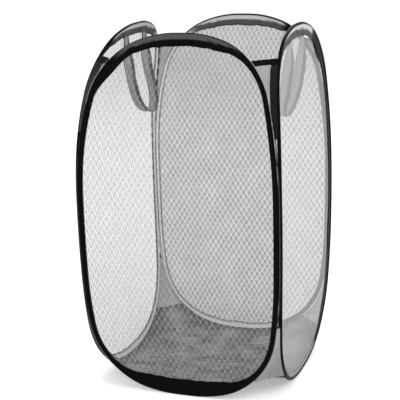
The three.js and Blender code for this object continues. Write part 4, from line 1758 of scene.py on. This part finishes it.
@dataclass
class Studio:
    """Camera, lamps, ground and background."""

    camera_place: tuple[float, float, float] = (0.633666, -1.803204, 0.791916)
    target: tuple[float, float, float] = (-0.020214, 0.0, 0.298637)
    roll: float = -1.610
    lens: float = 100.905
    ground_half: float = 8.0

    def add_camera(self) -> bpy.types.Object:
        """Adds the camera at the photo's angle.

        Returns:
            The camera.
        """
        data = bpy.data.cameras.new("camera")
        data.lens, data.sensor_width = self.lens, 36.0
        data.clip_end = 50.0
        camera = bpy.data.objects.new("camera", data)
        bpy.context.scene.collection.objects.link(camera)
        forward = (Vector(self.target) - Vector(self.camera_place)).normalized()
        right = forward.cross(Vector((0.0, 0.0, 1.0))).normalized()
        up = right.cross(forward)
        angle = math.radians(self.roll)
        tilted = right * math.cos(angle) + up * math.sin(angle)
        upright = up * math.cos(angle) - right * math.sin(angle)
        turn = Matrix((tilted, upright, -forward)).transposed().to_4x4()
        camera.matrix_world = Matrix.Translation(self.camera_place) @ turn
        bpy.context.scene.camera = camera
        return camera

    def lamp(self, name: str, place: Sequence[float], size: float, power: float) -> bpy.types.Object:
        """Adds a square soft lamp that faces the hamper.

        Args:
            name: name of the lamp.
            place: where it stands.
            size: length of its sides.
            power: its power in watts.

        Returns:
            The lamp.
        """
        data = bpy.data.lights.new(name, "AREA")
        data.size, data.energy = size, power
        lamp = bpy.data.objects.new(name, data)
        lamp.location = place
        aim = Vector((0.0, 0.0, 0.3)) - Vector(place)
        lamp.rotation_euler = aim.to_track_quat("-Z", "Y").to_euler()
        bpy.context.scene.collection.objects.link(lamp)
        return lamp

    def surround(self) -> None:
        """Sets a background that is white to the camera and soft grey to the hamper."""
        world = bpy.data.worlds.new("surround")
        bpy.context.scene.world = world
        world.use_nodes = True
        tree = world.node_tree
        tree.nodes.clear()
        output = tree.nodes.new("ShaderNodeOutputWorld")
        seen, lit = tree.nodes.new("ShaderNodeBackground"), tree.nodes.new("ShaderNodeBackground")
        seen.inputs["Color"].default_value = (1.0, 1.0, 1.0, 1.0)
        lit.inputs["Color"].default_value = (1.0, 1.0, 1.0, 1.0)
        lit.inputs["Strength"].default_value = 0.7
        path, choice = tree.nodes.new("ShaderNodeLightPath"), tree.nodes.new("ShaderNodeMixShader")
        share = path.outputs["Is Camera Ray"]
        for kind in ("Is Glossy Ray", "Is Transmission Ray"):
            either = tree.nodes.new("ShaderNodeMath")
            either.operation = "MAXIMUM"
            tree.links.new(share, either.inputs[0])
            tree.links.new(path.outputs[kind], either.inputs[1])
            share = either.outputs[0]
        tree.links.new(share, choice.inputs[0])
        tree.links.new(lit.outputs[0], choice.inputs[1])
        tree.links.new(seen.outputs[0], choice.inputs[2])
        tree.links.new(choice.outputs[0], output.inputs["Surface"])

    def ground(self) -> bpy.types.Object:
        """Adds the pale ground.

        Returns:
            The ground.
        """
        graph = Graph("pale_ground")
        path = graph.node("ShaderNodeLightPath").outputs
        seen = Value(graph, path["Is Camera Ray"])
        for kind in ("Is Glossy Ray", "Is Transmission Ray"):
            seen = seen.most(path[kind])
        glow = graph.mix(seen, (0.0, 0.0, 0.0), (0.36, 0.36, 0.36))
        material = graph.surface(
            base_color=(0.94, 0.94, 0.94), roughness=0.9, emission_color=glow, emission_strength=1.0
        )
        half = self.ground_half
        points = np.array([[-half, -half, 0.0], [half, -half, 0.0], [half, half, 0.0], [-half, half, 0.0]])
        made = mesh_object("ground", points, [[0, 1, 2, 3]], points[:, :2])
        made.data.materials.append(material)
        return made

    def build(self) -> None:
        """Adds everything round the hamper."""
        bpy.context.scene.view_settings.view_transform = "Standard"
        self.add_camera()
        self.surround()
        lamps = [
            self.lamp("key_lamp", (2.2, -1.0, 2.2), 1.5, 30.0),
            self.lamp("fill_lamp", (-0.9, -2.4, 1.5), 1.6, 16.0),
            self.lamp("rim_lamp", (-0.4, 2.2, 2.2), 1.6, 22.0),
        ]
        self.ground()


def finish_frame(finishes: Finishes) -> None:
    """Gives the frame's own metal pieces their materials.

    Args:
        finishes: the hamper's materials.
    """
    for side in Side:
        for part, material, slot in (
            ("wire_loop", finishes.wire, "spring_wire"),
            ("wire_ferrule", finishes.ferrule, "ferrule_metal"),
        ):
            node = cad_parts[f"{side.label}_{part}"]
            node.data.materials.clear()
            node.data.materials.append(material)


def main() -> None:
    """Builds the hamper and its surroundings."""
    logging.basicConfig(level=logging.INFO, format="%(name)s: %(message)s")
    Studio().build()
    finishes, shape = Finishes(), HamperShape()
    finish_frame(finishes)
    made: list[bpy.types.Object] = []
    for side in Side:
        made.append(Sleeve(shape, side).build(finishes))
        made.append(Net(shape, side).build(finishes))
    for corner in Corner:
        made.append(Seam(shape, corner).build(finishes))
        for upper in (True, False):
            made.extend(Gusset(shape, corner, upper).build(finishes))
    made.extend(Floor(shape).build(finishes))
    for side in (Side.LEFT, Side.RIGHT):
        made.extend(Handle(shape, side).build(finishes))
    for piece in made:
        log.info("%s: %d faces", piece.name, len(piece.data.polygons))


if __name__ == "__main__":
    main()
